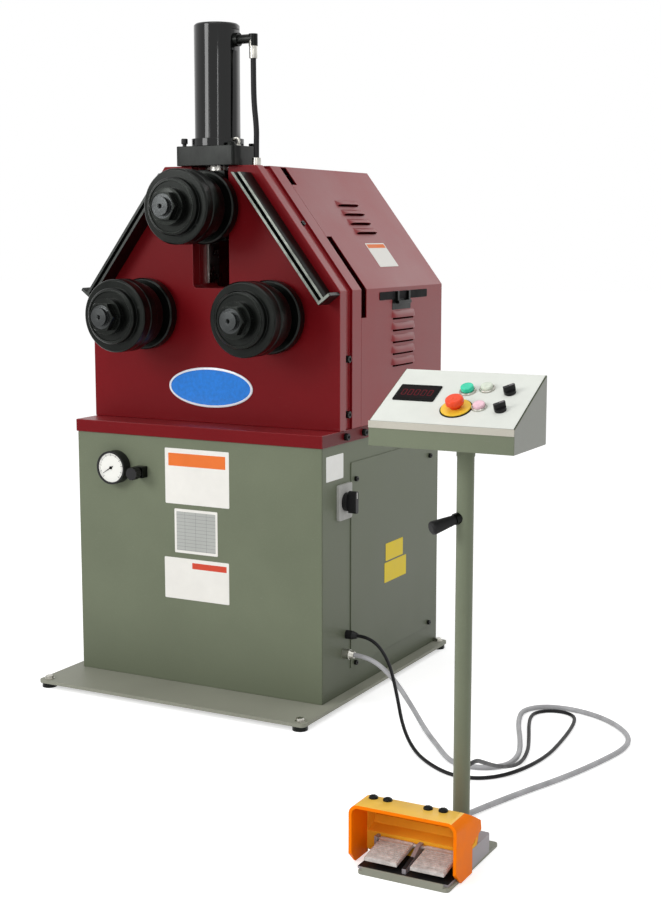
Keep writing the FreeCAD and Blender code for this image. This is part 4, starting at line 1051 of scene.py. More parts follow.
class BENDER_OT_labels(BenderStep):
    """Place the bare label plates and the bare oval badge."""

    bl_idname = "bender.labels"
    bl_label = "Place labels"

    def label(self, name, centre, right, up, size, names, bands=(), corner=0.003):
        """Film label with coloured bands, each (across, along, width, height, index)."""
        t = self.details.label_t
        bm = bmesh.new()
        add_plate(bm, centre, right, up, size, t, corner)
        right, up = Vector(right), Vector(up)
        out = right.cross(up)
        for across, along, width, height, index in bands:
            at = Vector(centre) + right * across + up * along + out * (t - 0.0001)
            add_plate(bm, at, right, up, (width, height), 0.00025, 0.0015, index)
        return piece(name, bm, [finish(n) for n in names], "machine", 0.0002)

    def execute(self, context):
        y = FRONT_Y
        front = ((1, 0, 0), (0, 0, 1))
        side = ((0, 1, 0), (0, 0, 1))
        self.label("label_upper", (0.0065, y, 0.6495), *front, (0.221, 0.165),
                   ["label_white", "label_orange"], [(0, 0.0495, 0.197, 0.038, 1)])
        self.label("label_data", (0.0015, y, 0.487), *front, (0.149, 0.132),
                   ["label_white", "label_silver"], [(0, 0, 0.135, 0.116, 1)])
        self.label("label_lower", (0.002, y, 0.343), *front, (0.224, 0.124),
                   ["label_white", "label_red"], [(0.0445, 0.042, 0.119, 0.018, 1)])
        self.label("label_side", (SIDE_X, FRONT_Y + 0.078, 0.699), *side, (0.104, 0.072),
                   ["label_bright"])
        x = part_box("side_panel")[1].x
        self.label("label_yellow_upper", (x, FRONT_Y + 0.467, 0.392), *side,
                   (0.122, 0.054), ["label_yellow"])
        self.label("label_yellow_lower", (x, FRONT_Y + 0.475, 0.329), *side,
                   (0.154, 0.062), ["label_yellow"])
        at = slope_point(0.325, FRONT_Y + 0.511)
        self.label("label_slope", at, (0, 1, 0), SLOPE_UP, (0.128, 0.088),
                   ["label_white", "label_orange"], [(0, 0.033, 0.118, 0.014, 1)])
        self.badge()
        return {"FINISHED"}

    def badge(self):
        """Oval badge with a raised rim and a shallow domed face."""
        bm = bmesh.new()
        centre = Vector((-0.005, HEAD_Y, 0.905))
        rings = [(1.0, 0.0, 0), (1.0, 0.0022, 0), (0.985, 0.0030, 0), (0.885, 0.0030, 0),
                 (0.872, 0.0018, 1), (0.70, 0.0024, 1), (0.35, 0.0030, 1), (0.02, 0.0031, 1)]
        sides = 96
        loops = []
        for share, lift, index in rings:
            loop = []
            for i in range(sides):
                a = 2 * math.pi * i / sides
                inset = (1 - share) * 0.0595
                loop.append(bm.verts.new(centre + Vector((
                    math.cos(a) * (0.145 - inset if share > 0.8 else 0.145 * share),
                    -lift,
                    math.sin(a) * (0.0595 - inset if share > 0.8 else 0.0595 * share)))))
            loops.append(loop)
        for k in range(len(loops) - 1):
            for i in range(sides):
                j = (i + 1) % sides
                face = bm.faces.new((loops[k][i], loops[k][j], loops[k + 1][j],
                                     loops[k + 1][i]))
                face.material_index = rings[k + 1][2]
        cap = bm.faces.new(loops[-1])
        cap.material_index = 1
        bm.faces.new(loops[0])
        bmesh.ops.recalc_face_normals(bm, faces=bm.faces)
        piece("badge", bm, [finish("badge_rim"), finish("badge_blue")], "machine",
              angle=50.0)


class BENDER_OT_head(BenderStep):
    """Dress the head plates, covers and gibs, and add louvre hoods."""

    bl_idname = "bender.head"
    bl_label = "Dress head"

    def execute(self, context):
        # front_tone gives the faces that look to the front a darker copy of the red, painted
        # shade.
        front_tone(refined("head_front_plate", finish("red"), 0.0022, 3))
        front_tone(refined("head_back_frame", finish("red"), 0.0016))
        for node in ("cover_left", "cover_right", "cover_top", "cover_rear"):
            front_tone(refined(node, finish("red"), 0.0009))
        refined("gib_left", finish("bright"), 0.0008)
        refined("gib_right", finish("bright"), 0.0008)
        rise = self.details.louvre_rise
        up = Vector((0, 0, 1))
        along = Vector((0, 1, 0))
        louvre_form("slope_louvre", 0.140, 0.020, rise, along, SLOPE_UP, SLOPE_OUT)
        pitch = -SLOPE_UP * 0.035
        grow("slope_louvres", "row", [(0, 0, 0)],
             {"Form": PATTERNS["slope_louvre"], "Count": 4,
              "Start": slope_point(0.118, FRONT_Y + 0.506), "Pitch": pitch,
              "Material": finish("red")}, "machine", 50.0)
        louvre_form("side_louvre", 0.160, 0.021, rise, along, up, Vector((1, 0, 0)))
        grow("side_louvres", "row", [(0, 0, 0)],
             {"Form": PATTERNS["side_louvre"], "Count": 5,
              "Start": (COVER[1].x, FRONT_Y + 0.515, 0.984), "Pitch": (0, 0, 0.0355),
              "Material": finish("red")}, "machine", 50.0)
        groove_x = HEAD_X - 0.009
        grow("groove_screws", "screws",
             [(groove_x, FRONT_Y + 0.156, 1.001), (groove_x, FRONT_Y + 0.156, 0.842)],
             {"Screw": PATTERNS["cap_screw_form"], "Facing": (1, 0, 0),
              "Size": self.details.cap_screw_r / MM, "Material": finish("black_steel")},
             "machine")
        at = slope_point(0.204, FRONT_Y + 0.155) - SLOPE_OUT * 0.009
        grow("slope_clip", "screws", [at],
             {"Screw": PATTERNS["cap_screw_form"], "Facing": SLOPE_OUT,
              "Size": self.details.panel_screw_r / MM, "Material": finish("black_steel")},
             "machine")
        self.pull()
        return {"FINISHED"}

    def pull(self):
        """Pull under the right shoulder: a flat near-black plate stands for the shade in its
        recess, painted shade, with its bracket.
        """
        bm = bmesh.new()
        x = COVER[1].x
        y = FRONT_Y
        add_plate(bm, (x, y + 0.517, 1.172), (0, 1, 0), (0, 0, 1), (0.336, 0.024), 0.0016,
                  0.004)
        add_plate(bm, (x, y + 0.500, 1.146), (0, 1, 0), (0, 0, 1), (0.130, 0.034), 0.0012,
                  0.004, 1)
        low = Vector((x, y + 0.455, 1.150))
        add_block(bm, low, low + Vector((0.010, 0.012, 0.034)), index=1)
        low = Vector((x, y + 0.533, 1.150))
        add_block(bm, low, low + Vector((0.010, 0.012, 0.034)), index=1)
        low = Vector((x + 0.004, y + 0.455, 1.147))
        add_block(bm, low, low + Vector((0.010, 0.090, 0.009)), index=1)
        piece("shoulder_pull", bm, [finish("shade_black"), finish("black_steel")], "machine",
              0.0008)


class BENDER_OT_rolls(BenderStep):
    """Dress the three roll sets, the carriage and the shafts."""

    bl_idname = "bender.rolls"
    bl_label = "Dress rolls"

    def execute(self, context):
        for name in ("left", "right", "top"):
            refined("roll_" + name, finish("roll_" + name), 0.0014, 3)
            refined("nut_" + name, finish("nut_" + name), 0.0012, 3)
            refined("shaft_" + name, finish("shaft_" + name), 0.0012)
            low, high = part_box("roll_" + name)
            middle = (low + high) / 2
            bm = bmesh.new()
            add_lathe(bm, [(0.0700, -0.0005), (0.0700, 0.0010), (0.0712, 0.0022),
                           (0.0738, 0.0022), (0.0750, 0.0010), (0.0750, -0.0005),
                           (0.0700, -0.0005)],
                      facing((middle.x, low.y, middle.z), (0, -1, 0)), 96)
            close_up(bm)
            piece("hub_ring_" + name, bm, [finish("nut_" + name)], BODY_OF["roll_" + name])
        refined("carriage", finish("black_steel"), 0.002)
        refined("piston_rod", finish("bright"), 0.001)
        return {"FINISHED"}


class BENDER_OT_cylinder(BenderStep):
    """Dress the hydraulic cylinder, its yoke, elbow and fittings."""

    bl_idname = "bender.cylinder"
    bl_label = "Dress cylinder"

    def execute(self, context):
        refined("cylinder_yoke", finish("black_steel"), 0.0025, 3)
        refined("cylinder_tube", finish("cylinder"), 0.001)
        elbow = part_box("port_elbow")
        collar_z = elbow[0].z + 0.6 * (elbow[1].z - elbow[0].z)
        collar_x = elbow[1].x - 0.030
        tone_faces(refined("port_elbow", finish("black_steel"), 0.001), finish("zinc"),
                   lambda at, normal: at.x > collar_x and at.z < collar_z)
        refined("hose_bulkhead", finish("zinc"), 0.001)
        foot = 0.442
        for node, face in (("guide_bar_left", "bar_shade"), ("guide_bar_right", "bar_lip")):
            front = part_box(node)[0].y + 0.001

            def on_lip(at, normal):
                down = (SLOPE_TOP - Vector((abs(at.x), 0, at.z))).dot(SLOPE_UP)
                return at.y < front and normal.y < -0.9 and down < foot

            tone_faces(refined(node, finish("black_steel"), 0.0012), finish(face), on_lip)
        top = YOKE[1].z
        inset = 0.016
        spots = [(x, y, top) for x in (YOKE[0].x + inset, YOKE[1].x - inset)
                 for y in (YOKE[0].y + inset, YOKE[1].y - inset)][1:]
        grow("yoke_bolts", "screws", spots,
             {"Screw": PATTERNS["hex_bolt_form"], "Facing": (0, 0, 1), "Size": 12.0,
              "Material": finish("black_steel")}, "machine")
        self.yoke_fittings(top)
        axis = (TUBE[0] + TUBE[1]) / 2
        ring = []
        for i in range(8):
            a = math.pi / 4 * i + 0.39
            ring.append((axis.x + 0.030 * math.cos(a), axis.y + 0.030 * math.sin(a),
                         TUBE[1].z))
        grow("cap_bolts", "screws", ring,
             {"Screw": PATTERNS["pan_screw_form"], "Facing": (0, 0, 1), "Size": 4.5,
              "Material": finish("black_steel")}, "machine")
        return {"FINISHED"}

    def yoke_fittings(self, top):
        """Bleed knob at the left of the yoke and a lifting eye at its right."""
        bm = bmesh.new()
        add_lathe(bm, [(0.0, -0.0005), (0.0058, -0.0005), (0.0058, 0.006), (0.0095, 0.008),
                       (0.0095, 0.0205), (0.0080, 0.0225), (0.0, 0.0225)],
                  Matrix.Translation(Vector((YOKE[0].x + 0.019, YOKE[0].y + 0.018, top))),
                  24)
        close_up(bm)
        piece("bleed_knob", bm, [finish("black_plastic")], "machine")
        bm = bmesh.new()
        foot = Vector((YOKE[1].x - 0.022, YOKE[0].y + 0.050, top))
        add_lathe(bm, [(0.0, -0.0005), (0.0130, -0.0005), (0.0130, 0.0040),
                       (0.0070, 0.0065), (0.0, 0.0065)], Matrix.Translation(foot), 32)
        middle = foot + Vector((0, 0, 0.0115))
        major, minor, sides, turns = 0.0105, 0.0040, 12, 32
        rings = []
        for i in range(turns):
            a = 2 * math.pi * i / turns
            out = Vector((math.cos(a), 0, math.sin(a)))
            rings.append([bm.verts.new(
                middle + out * (major + minor * math.cos(2 * math.pi * k / sides))
                + Vector((0, minor * math.sin(2 * math.pi * k / sides), 0)))
                for k in range(sides)])
        for i in range(turns):
            for k in range(sides):
                j, m = (i + 1) % turns, (k + 1) % sides
                bm.faces.new((rings[i][k], rings[j][k], rings[j][m], rings[i][m]))
        close_up(bm)
        piece("lifting_eye", bm, [finish("zinc")], "machine")


class BENDER_OT_fittings(BenderStep):
    """Dress the gauge, valve, main switch and cable glands."""

    bl_idname = "bender.fittings"
    bl_label = "Dress fittings"

    def execute(self, context):
        refined("pressure_gauge", finish("black_plastic"), 0.001)
        self.gauge_face()
        self.switch_face()
        refined("valve_body", finish("black_steel"), 0.001)
        refined("valve_knob", finish("black_plastic"), 0.0008)
        refined("switch_plate", finish("grey_plastic"), 0.0015)
        refined("switch_knob", finish("black_plastic"), 0.002, 3)
        refined("black_cable_gland", finish("black_plastic"), 0.001)
        refined("grey_conduit_fitting", finish("zinc"), 0.001)
        return {"FINISHED"}

    def gauge_face(self):
        """White dial with its marks and needle."""
        centre = (GAUGE[0] + GAUGE[1]) / 2
        radius = (GAUGE[1].x - GAUGE[0].x) / 2
        face_y = GAUGE[0].y + 0.0038
        facing_out = facing((centre.x, face_y, centre.z), (0, -1, 0))
        bm = bmesh.new()
        add_lathe(bm, [(0.0, 0.0), (radius - 0.0062, 0.0), (radius - 0.0062, 0.0006),
                       (0.0, 0.0006)], facing_out, 64)
        close_up(bm)
        piece("gauge_dial", bm, [finish("dial")], "machine")
        spot = (centre.x, face_y - 0.0007, centre.z)
        grow("gauge_marks", "dial", [(0, 0, 0)],
             {"Count": self.details.tick_count, "Radius": radius - 0.0115,
              "Sweep": 4.712, "Centre": spot, "Length": 0.0036, "Width": 0.0006,
              "Material": finish("ink")}, "machine")
        bm = bmesh.new()
        angle = math.radians(-122)
        turn = Matrix.Translation(Vector(spot)) @ Matrix.Rotation(angle, 4, "Y")
        needle = [(-0.0011, -0.010), (0.0011, -0.010), (0.0016, 0.0), (0.0003, 0.034),
                  (-0.0003, 0.034), (-0.0016, 0.0)]
        near = [bm.verts.new(turn @ Vector((x, -0.0016, z))) for x, z in needle]
        far = [bm.verts.new(turn @ Vector((x, -0.0009, z))) for x, z in needle]
        bm.faces.new(near)
        bm.faces.new(far[::-1])
        for i in range(6):
            j = (i + 1) % 6
            bm.faces.new((near[i], near[j], far[j], far[i]))
        add_lathe(bm, [(0.0045, 0.0), (0.0045, 0.0022), (0.0038, 0.003), (0.0, 0.003)],
                  facing(spot, (0, -1, 0)), 24)
        close_up(bm)
        piece("gauge_needle", bm, [finish("ink")], "machine")

    def switch_face(self):
        """White pointer of the main switch."""
        centre = (SWITCH[0] + SWITCH[1]) / 2
        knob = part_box("switch_knob")
        bm = bmesh.new()
        add_plate(bm, (knob[1].x - 0.0002, centre.y, centre.z + 0.020), (0, 1, 0),
                  (0, 0, 1), (0.003, 0.018), 0.0005, 0.0012)
        piece("switch_pointer", bm, [finish("white_plastic")], "switch_knob")


class BENDER_OT_console(BenderStep):
    """Dress the console and its controls."""

    bl_idname = "bender.console"
    bl_label = "Dress console"

    def execute(self, context):
        # Faces of the housing that look to the right take the lighter stand_side copy, painted
        # light.
        tone_faces(refined("console_housing", finish("olive_stand"), 0.0015, 3),
                   finish("stand_side"), lambda at, normal: normal.x > 0.9)
        refined("console_deck", finish("deck"), 0.0006)
        refined("stop_collar", finish("yellow"), 0.0008)
        refined("stop_button", finish("red_button"), 0.0003, 2, 60.0)
        refined("green_button", finish("green_button"), 0.0003, 2, 60.0)
        refined("lamp_red", finish("lamp_pink"), 0.0003, 2, 60.0)
        refined("lamp_white", finish("lamp_clear"), 0.0003, 2, 60.0)
        refined("selector_rear", finish("black_plastic"), 0.001)
        refined("selector_front", finish("black_plastic"), 0.001)
        self.bezels()
        self.display()
        self.pointers()
        self.lip()
        return {"FINISHED"}

    def lip(self):
        """Pale folded lip under the front edge of the deck."""
        height = 0.015
        bm = bmesh.new()
        at = (0.5 * (HOUSING[0].x + HOUSING[1].x), HOUSING[0].y,
              HOUSING[0].z + CONSOLE_FRONT_H + 0.0024 - 0.5 * height)
        add_plate(bm, at, (1, 0, 0), (0, 0, 1), (HOUSING[1].x - HOUSING[0].x, height),
                  0.0012, 0.001)
        piece("console_lip", bm, [finish("cream")], "machine", 0.0003)

    def bezels(self):
        """Metal and black rings round the controls."""
        for name, inner, outer, height, material in (
                ("stop_collar", 0.0332, 0.0358, 0.0022, "ink"),
                ("green_button", 0.0150, 0.0190, 0.0045, "zinc"),
                ("lamp_white", 0.0140, 0.0175, 0.0045, "zinc"),
                ("lamp_red", 0.0140, 0.0175, 0.0045, "zinc")):
            bm = bmesh.new()
            at = facing(deck_point(*CONTROLS[name]), DECK_OUT)
            add_lathe(bm, [(inner, 0.0), (outer, 0.0), (outer, height * 0.55),
                           (outer - 0.0012, height), (inner + 0.0005, height),
                           (inner, height * 0.7), (inner, 0.0)], at, 48)
            close_up(bm)
            piece(name + "_bezel", bm, [finish(material)], "machine",
                  0.0002)

    def display(self):
        """Black display frame with a dark window and dim number segments."""
        right, up = Vector((1, 0, 0)), DECK_UP
        bm = bmesh.new()
        at = deck_point(0.0685, 0.1155)
        add_plate(bm, at, right, up, (0.097, 0.061), 0.0022, 0.003)
        add_plate(bm, deck_point(0.0685, 0.1155, 0.0021), right, up, (0.084, 0.046),
                  0.0003, 0.0015, 1)
        w, h, bar = 0.0088, 0.021, 0.0016
        shapes = {"a": (0, h / 2, w, bar), "g": (0, 0, w, bar), "d": (0, -h / 2, w, bar),
                  "b": (w / 2, h / 4, bar, h / 2), "c": (w / 2, -h / 4, bar, h / 2),
                  "f": (-w / 2, h / 4, bar, h / 2), "e": (-w / 2, -h / 4, bar, h / 2)}
        for place_no, lit in enumerate(("abcdef", "abcdef", "abcdef", "abcdef", "abcdef")):
            for key in lit:
                x, z, sx, sz = shapes[key]
                spot = deck_point(0.0685 + (place_no - 2) * 0.0155 + x, 0.1155 + z, 0.0023)
                add_plate(bm, spot, right, up, (sx * 0.92, sz * 0.92), 0.0002, 0.0005, 2)
        piece("display_unit", bm, [finish("ink"), finish("display"),
                                   finish("segments")], "machine")

    def pointers(self):
        """White lines on the selector grips."""
        for name in ("selector_rear", "selector_front"):
            bm = bmesh.new()
            turn = Matrix.Rotation(math.radians(-48), 3, DECK_OUT)
            up = turn @ DECK_UP
            right = up.cross(DECK_OUT)
            at = deck_point(*CONTROLS[name], 0.0184) + up * 0.006
            add_plate(bm, at, right, up, (0.0016, 0.011), 0.0004, 0.0006)
            piece(name + "_pointer", bm, [finish("cast_grey")], name)


class BENDER_OT_stand(BenderStep):
    """Dress the stand, its pole and the grip handle."""

    bl_idname = "bender.stand"
    bl_label = "Dress stand"

    def execute(self, context):
        refined("stand_base", finish("base"), 0.0012)
        refined("stand_pole", finish("olive_stand"), 0.001)
        refined("handle_clamp", finish("black_steel"), 0.001)
        refined("handle_grip", finish("rubber"), 0.0015)
        # Thin near-black sleeve round the pole just under the console: painted shade where the
        # pole meets the housing.
        bm = bmesh.new()
        middle = Vector((0.5 * (POLE[0].x + POLE[1].x), POLE_Y, HOUSING[0].z - 0.0255))
        inner = 0.0192
        outer = inner + 0.0009
        add_lathe(bm, [(inner, 0.0), (outer, 0.0), (outer, 0.0245), (inner, 0.0245),
                       (inner, 0.0)], Matrix.Translation(middle), 48)
        close_up(bm)
        piece("pole_sleeve", bm, [finish("shade_black")], "machine", 0.0002)
        return {"FINISHED"}


class BENDER_OT_foot_switch(BenderStep):
    """Dress the foot switch, its pedals and its guard."""

    bl_idname = "bender.foot_switch"
    bl_label = "Dress foot switch"

    def execute(self, context):
        tone_faces(refined("foot_body", finish("cast_grey"), 0.0012), finish("rubber"),
                   lambda at, normal: at.z < 0.03 and normal.z > 0.9)
        top = HOOD[1].z
        hood = refined("foot_hood", finish("orange"), 0.0016, 3)
        # The top faces take the lighter guard_top copy, painted highlight; inner faces that
        # look to the front take guard_inside, painted light.
        tone_faces(hood, finish("orange_lit"),
                   lambda at, normal: normal.z > 0.9 and at.z > top - 0.002)
        tone_faces(hood, finish("orange_inner"),
                   lambda at, normal: normal.y < -0.2 and at.y > -1.15)
        self.apron()
        refined("pedal_left", finish("treadle"), 0.0012)
        refined("pedal_right", finish("treadle"), 0.0012)
        for name in ("pedal_left", "pedal_right"):
            self.treads(name)
        self.hood_screws()
        return {"FINISHED"}

    def apron(self):
        """Foot of the guard's rear wall over the block, and the gusset of its left cheek, in
        the lighter inner orange, painted light.
        """
        wall = 0.0045
        bm = bmesh.new()
        for low_x, high_x, outline in (
                (HOOD[0].x + wall, HOOD[1].x - wall,
                 [(-1.1276, 0.0100), (-1.1255, 0.0100), (-1.1255, 0.0503),
                  (-1.084, 0.0503), (-1.0835, 0.0760), (-1.086, 0.0760),
                  (-1.095, 0.0600), (-1.1276, 0.0535)]),
                (HOOD[0].x + 0.0003, HOOD[0].x + wall + 0.0012,
                 [(-1.126, 0.0175), (-1.0765, 0.0175), (-1.0765, 0.0990),
                  (-1.112, 0.1180), (-1.126, 0.1180)])):
            near = [bm.verts.new((low_x, y, z)) for y, z in outline]
            far = [bm.verts.new((high_x, y, z)) for y, z in outline]
            count = len(outline)
            bm.faces.new(near)
            bm.faces.new(far[::-1])
            for i in range(count):
                j = (i + 1) % count
                bm.faces.new((near[j], near[i], far[i], far[j]))
        bmesh.ops.recalc_face_normals(bm, faces=bm.faces)
        piece("guard_apron", bm, [finish("orange_inner")], "machine",
              0.0004)

    def treads(self, name):
        """Raised ribs across one pedal."""
        hinge_y = -1.135
        slope = Vector((0, -0.086, -0.013)).normalized()
        out = Vector((1, 0, 0)).cross(-slope)
        width = 0.072
        middle_x = {"pedal_left": 1.0455, "pedal_right": 1.1545}[name]
        bm = bmesh.new()
        add_plate(bm, (0, 0, 0), (1, 0, 0), -slope, (width, 0.0030), 0.0018, 0.0012)
        rib = pattern_object("rib_" + name, bm)
        count = self.details.tread_count
        start = Vector((middle_x, hinge_y, 0.046)) + slope * 0.0135
        grow(name + "_treads", "row", [(0, 0, 0)],
             {"Form": rib, "Count": count, "Start": start - out * 0.0002,
              "Pitch": slope * (0.069 / (count - 1)), "Material": finish("treadle")},
             name)

    def hood_screws(self):
        """Dark screws on the top of the guard."""
        top = HOOD[1].z
        spots = [(0.996, -1.153, top), (1.030, -1.152, top), (1.127, -1.155, top),
                 (1.161, -1.152, top)]
        grow("guard_screws", "screws", spots,
             {"Screw": PATTERNS["pan_screw_form"], "Facing": (0, 0, 1), "Size": 10.5,
              "Spin": 1.5, "Material": finish("black_steel")}, "machine")


BLACK_ROUTE = [
    (0.456, -0.1645, 0.196), (0.505, -0.1645, 0.196), (0.575, -0.201, 0.148),
    (0.640, -0.285, 0.084), (0.705, -0.385, 0.028), (0.785, -0.487, 0.0055),
    (0.865, -0.565, 0.0055), (0.945, -0.612, 0.0055), (1.015, -0.606, 0.0055),
    (1.066, -0.553, 0.0055), (1.098, -0.466, 0.0055), (1.113, -0.358, 0.0055),
    (1.108, -0.245, 0.0055), (1.096, -0.122, 0.0055), (1.080, -0.042, 0.0055),
    (1.059, -0.010, 0.0055), (1.023, 0.004, 0.0055), (0.986, -0.006, 0.0055),
    (0.962, -0.036, 0.0055), (0.960, -0.076, 0.0055), (0.982, -0.150, 0.0055),
    (1.018, -0.245, 0.0055), (1.055, -0.350, 0.0055), (1.076, -0.460, 0.009),
    (1.084, -0.580, 0.040), (1.098, -0.700, 0.084), (1.116, -0.818, 0.134),
    (1.131, -0.905, 0.170), (1.131, -0.956, 0.170)]

GREY_ROUTE = [
    (0.456, -0.1835, 0.143), (0.505, -0.1835, 0.143), (0.585, -0.202, 0.104),
    (0.668, -0.250, 0.044), (0.752, -0.335, 0.008), (0.826, -0.427, 0.0075),
    (0.893, -0.511, 0.0075), (0.935, -0.537, 0.0075), (0.985, -0.537, 0.0075),
    (1.027, -0.512, 0.0075), (1.052, -0.470, 0.0075), (1.046, -0.390, 0.0075),
    (1.006, -0.280, 0.0075), (0.956, -0.165, 0.0075), (0.927, -0.070, 0.0075),
    (0.931, -0.026, 0.0075), (0.956, 0.010, 0.0075), (0.996, 0.029, 0.0075),
    (1.060, 0.031, 0.0075), (1.140, 0.002, 0.0075), (1.212, -0.056, 0.0075),
    (1.263, -0.130, 0.0075), (1.278, -0.220, 0.0075), (1.250, -0.350, 0.0075),
    (1.206, -0.500, 0.0075), (1.150, -0.640, 0.0075), (1.102, -0.780, 0.0075),
    (1.084, -0.866, 0.012), (1.078, -0.940, 0.026), (1.078, -0.998, 0.026)]

HOSE_ROUTE = [
    (0.122, -0.1725, 1.8500), (0.122, -0.1725, 1.7942), (0.125, -0.1755, 1.7245),
    (0.133, -0.1755, 1.6547), (0.130, -0.1725, 1.6045), (0.130, -0.1725, 1.5710)]


def cord_along(name, route, radius, material):
    """Cable on a smooth spline, its route's points as control points."""
    curve = bpy.data.curves.new(name, "CURVE")
    curve.dimensions = "3D"
    curve.bevel_depth = radius
    curve.bevel_resolution = 5
    curve.resolution_u = 10
    curve.use_fill_caps = True
    spline = curve.splines.new("NURBS")
    spline.points.add(len(route) - 1)
    for point, place_at in zip(spline.points, route):
        point.co = (*place_at, 1.0)
    spline.order_u = 3
    spline.use_endpoint_u = True
    curve.materials.append(material)
    obj = bpy.data.objects.new(name, curve)
    bpy.context.scene.collection.objects.link(obj)
    return obj


class BENDER_OT_cables(BenderStep):
    """Lay the black cable, the grey conduit and the hydraulic hose."""

    bl_idname = "bender.cables"
    bl_label = "Lay cables"

    def execute(self, context):
        for node, route, length, size, material, stiffness, lay in (
                ("black_cable", BLACK_ROUTE, 2.504, 0.010, "cable_black", "medium", "loose"),
                ("grey_conduit", GREY_ROUTE, 2.570, 0.014, "cable_grey", "medium", "loose"),
                ("hydraulic_hose", HOSE_ROUTE, 0.280, 0.016, "rubber", "stiff", "taut")):
            run = cord_along(node + "_run", route, size / 2, finish(material))
            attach(run, "machine")
            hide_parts(node)
        return {"FINISHED"}


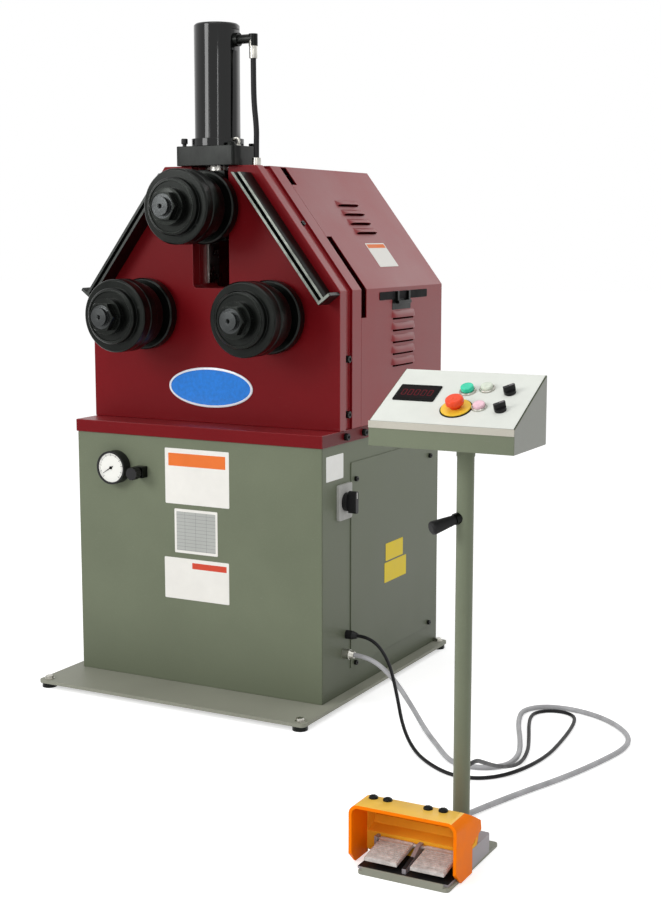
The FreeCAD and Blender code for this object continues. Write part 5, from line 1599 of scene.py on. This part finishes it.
class BENDER_OT_stage(BenderStep):
    """Set up the floor, the lights, the world and the camera."""

    bl_idname = "bender.stage"
    bl_label = "Set up studio"

    def lamp(self, name, at, target, size, power, spread=180.0):
        """Soft rectangular light that looks at a target."""
        light = bpy.data.lights.new(name, "AREA")
        light.shape = "RECTANGLE"
        light.size, light.size_y = size
        light.energy = power
        light.spread = math.radians(spread)
        obj = bpy.data.objects.new(name, light)
        obj.location = at
        aim = Vector(target) - Vector(at)
        obj.rotation_euler = aim.to_track_quat("-Z", "Y").to_euler()
        bpy.context.scene.collection.objects.link(obj)
        return obj

    def execute(self, context):
        s = self.studio
        scene = context.scene
        scene.view_settings.view_transform = "Standard"
        mesh = bpy.data.meshes.new("floor")
        half = 30.0
        mesh.from_pydata([(-half, -half, 0), (half, -half, 0), (half, half, 0),
                          (-half, half, 0)], [], [(0, 1, 2, 3)])
        floor = bpy.data.objects.new("floor", mesh)
        scene.collection.objects.link(floor)
        mat, tree, bsdf, add = shader("studio_floor")
        bsdf.inputs["Base Color"].default_value = (0.80, 0.80, 0.80, 1)
        bsdf.inputs["Roughness"].default_value = 0.9
        bsdf.inputs["Specular IOR Level"].default_value = 0.0
        path = add("ShaderNodeLightPath")
        seen = combine(tree, add, "MAXIMUM", path.outputs["Is Camera Ray"],
                       path.outputs["Is Glossy Ray"])
        seen = combine(tree, add, "MAXIMUM", seen, path.outputs["Is Transmission Ray"])
        seen = combine(tree, add, "MULTIPLY", seen, 0.54)
        bsdf.inputs["Emission Color"].default_value = (1, 1, 1, 1)
        tree.links.new(seen, bsdf.inputs["Emission Strength"])
        mesh.materials.append(mat)

        world = bpy.data.worlds.new("studio_world")
        scene.world = world
        world.use_nodes = True
        tree = world.node_tree
        plain = tree.nodes["Background"]
        plain.inputs["Color"].default_value = (1, 1, 1, 1)
        plain.inputs["Strength"].default_value = s.sky
        white = tree.nodes.new("ShaderNodeBackground")
        white.inputs["Color"].default_value = (1, 1, 1, 1)
        white.inputs["Strength"].default_value = 1.0
        path = tree.nodes.new("ShaderNodeLightPath")
        top = tree.nodes.new("ShaderNodeMath")
        top.operation = "MAXIMUM"
        tree.links.new(path.outputs["Is Camera Ray"], top.inputs[0])
        tree.links.new(path.outputs["Is Glossy Ray"], top.inputs[1])
        both = tree.nodes.new("ShaderNodeMath")
        both.operation = "MAXIMUM"
        tree.links.new(top.outputs[0], both.inputs[0])
        tree.links.new(path.outputs["Is Transmission Ray"], both.inputs[1])
        mix = tree.nodes.new("ShaderNodeMixShader")
        tree.links.new(both.outputs[0], mix.inputs[0])
        tree.links.new(plain.outputs[0], mix.inputs[1])
        tree.links.new(white.outputs[0], mix.inputs[2])
        tree.links.new(mix.outputs[0], tree.nodes["World Output"].inputs["Surface"])

        self.lamp("key_light", (-2.2, -4.5, 2.7), (0.2, 0, 0.9), (2.0, 2.0), s.key_power)
        self.lamp("front_light", (2.9, -4.8, 2.3), (0.1, 0, 1.1), (0.25, 3.0), s.fill_power)
        self.lamp("back_light", (1.4, 3.8, 2.7), (0.2, 0, 1.2), (3.0, 1.6), s.rim_power)
        self.lamp("top_light", (0.7, -1.4, 4.4), (0.6, -0.5, 0.8), (2.6, 2.2), s.top_power)

        data = bpy.data.cameras.new("photo_camera")
        data.lens = s.focal
        data.sensor_width = 36.0
        data.clip_end = 100.0
        camera = bpy.data.objects.new("photo_camera", data)
        camera.location = (2.3789, -3.9647, 1.3562)
        camera.rotation_euler = (math.radians(81.8), 0, math.radians(27.9))
        scene.collection.objects.link(camera)
        scene.camera = camera
        return {"FINISHED"}


class BENDER_PT_panel(bpy.types.Panel):
    """Steps and settings of the bender's dressing."""

    bl_idname = "BENDER_PT_panel"
    bl_label = "Section bender"
    bl_space_type = "VIEW_3D"
    bl_region_type = "UI"
    bl_category = "Bender"

    def draw(self, context):
        layout = self.layout
        for group in (context.scene.bender_finish, context.scene.bender_detail,
                      context.scene.bender_studio):
            box = layout.box()
            for name in group.bl_rna.properties.keys():
                if name not in ("rna_type", "name"):
                    box.prop(group, name)
        for step in STEPS:
            layout.operator(step.bl_idname)


STEPS = (BENDER_OT_finishes, BENDER_OT_stage, BENDER_OT_cables, BENDER_OT_fasteners,
         BENDER_OT_cabinet, BENDER_OT_labels, BENDER_OT_head, BENDER_OT_rolls,
         BENDER_OT_cylinder, BENDER_OT_fittings, BENDER_OT_console, BENDER_OT_stand,
         BENDER_OT_foot_switch)
GROUPS = {"bender_finish": FinishSettings, "bender_detail": DetailSettings,
          "bender_studio": StudioSettings}


def register():
    """Add the settings, steps and panel."""
    for cls in (*GROUPS.values(), *STEPS, BENDER_PT_panel):
        bpy.utils.register_class(cls)
    for name, cls in GROUPS.items():
        setattr(bpy.types.Scene, name, PointerProperty(type=cls))


def unregister():
    """Take the settings, steps and panel away again."""
    for name in GROUPS:
        delattr(bpy.types.Scene, name)
    for cls in (BENDER_PT_panel, *reversed(STEPS), *GROUPS.values()):
        bpy.utils.unregister_class(cls)


def main():
    """Run all steps in order."""
    register()
    for step in STEPS:
        group, name = step.bl_idname.split(".")
        result = getattr(getattr(bpy.ops, group), name)()
        if result != {"FINISHED"}:
            raise RuntimeError(step.bl_label + " did not finish")
    for form in PATTERNS.values():
        bpy.data.objects.remove(form)
    bpy.context.view_layer.update()


if __name__ == "__main__":
    main()
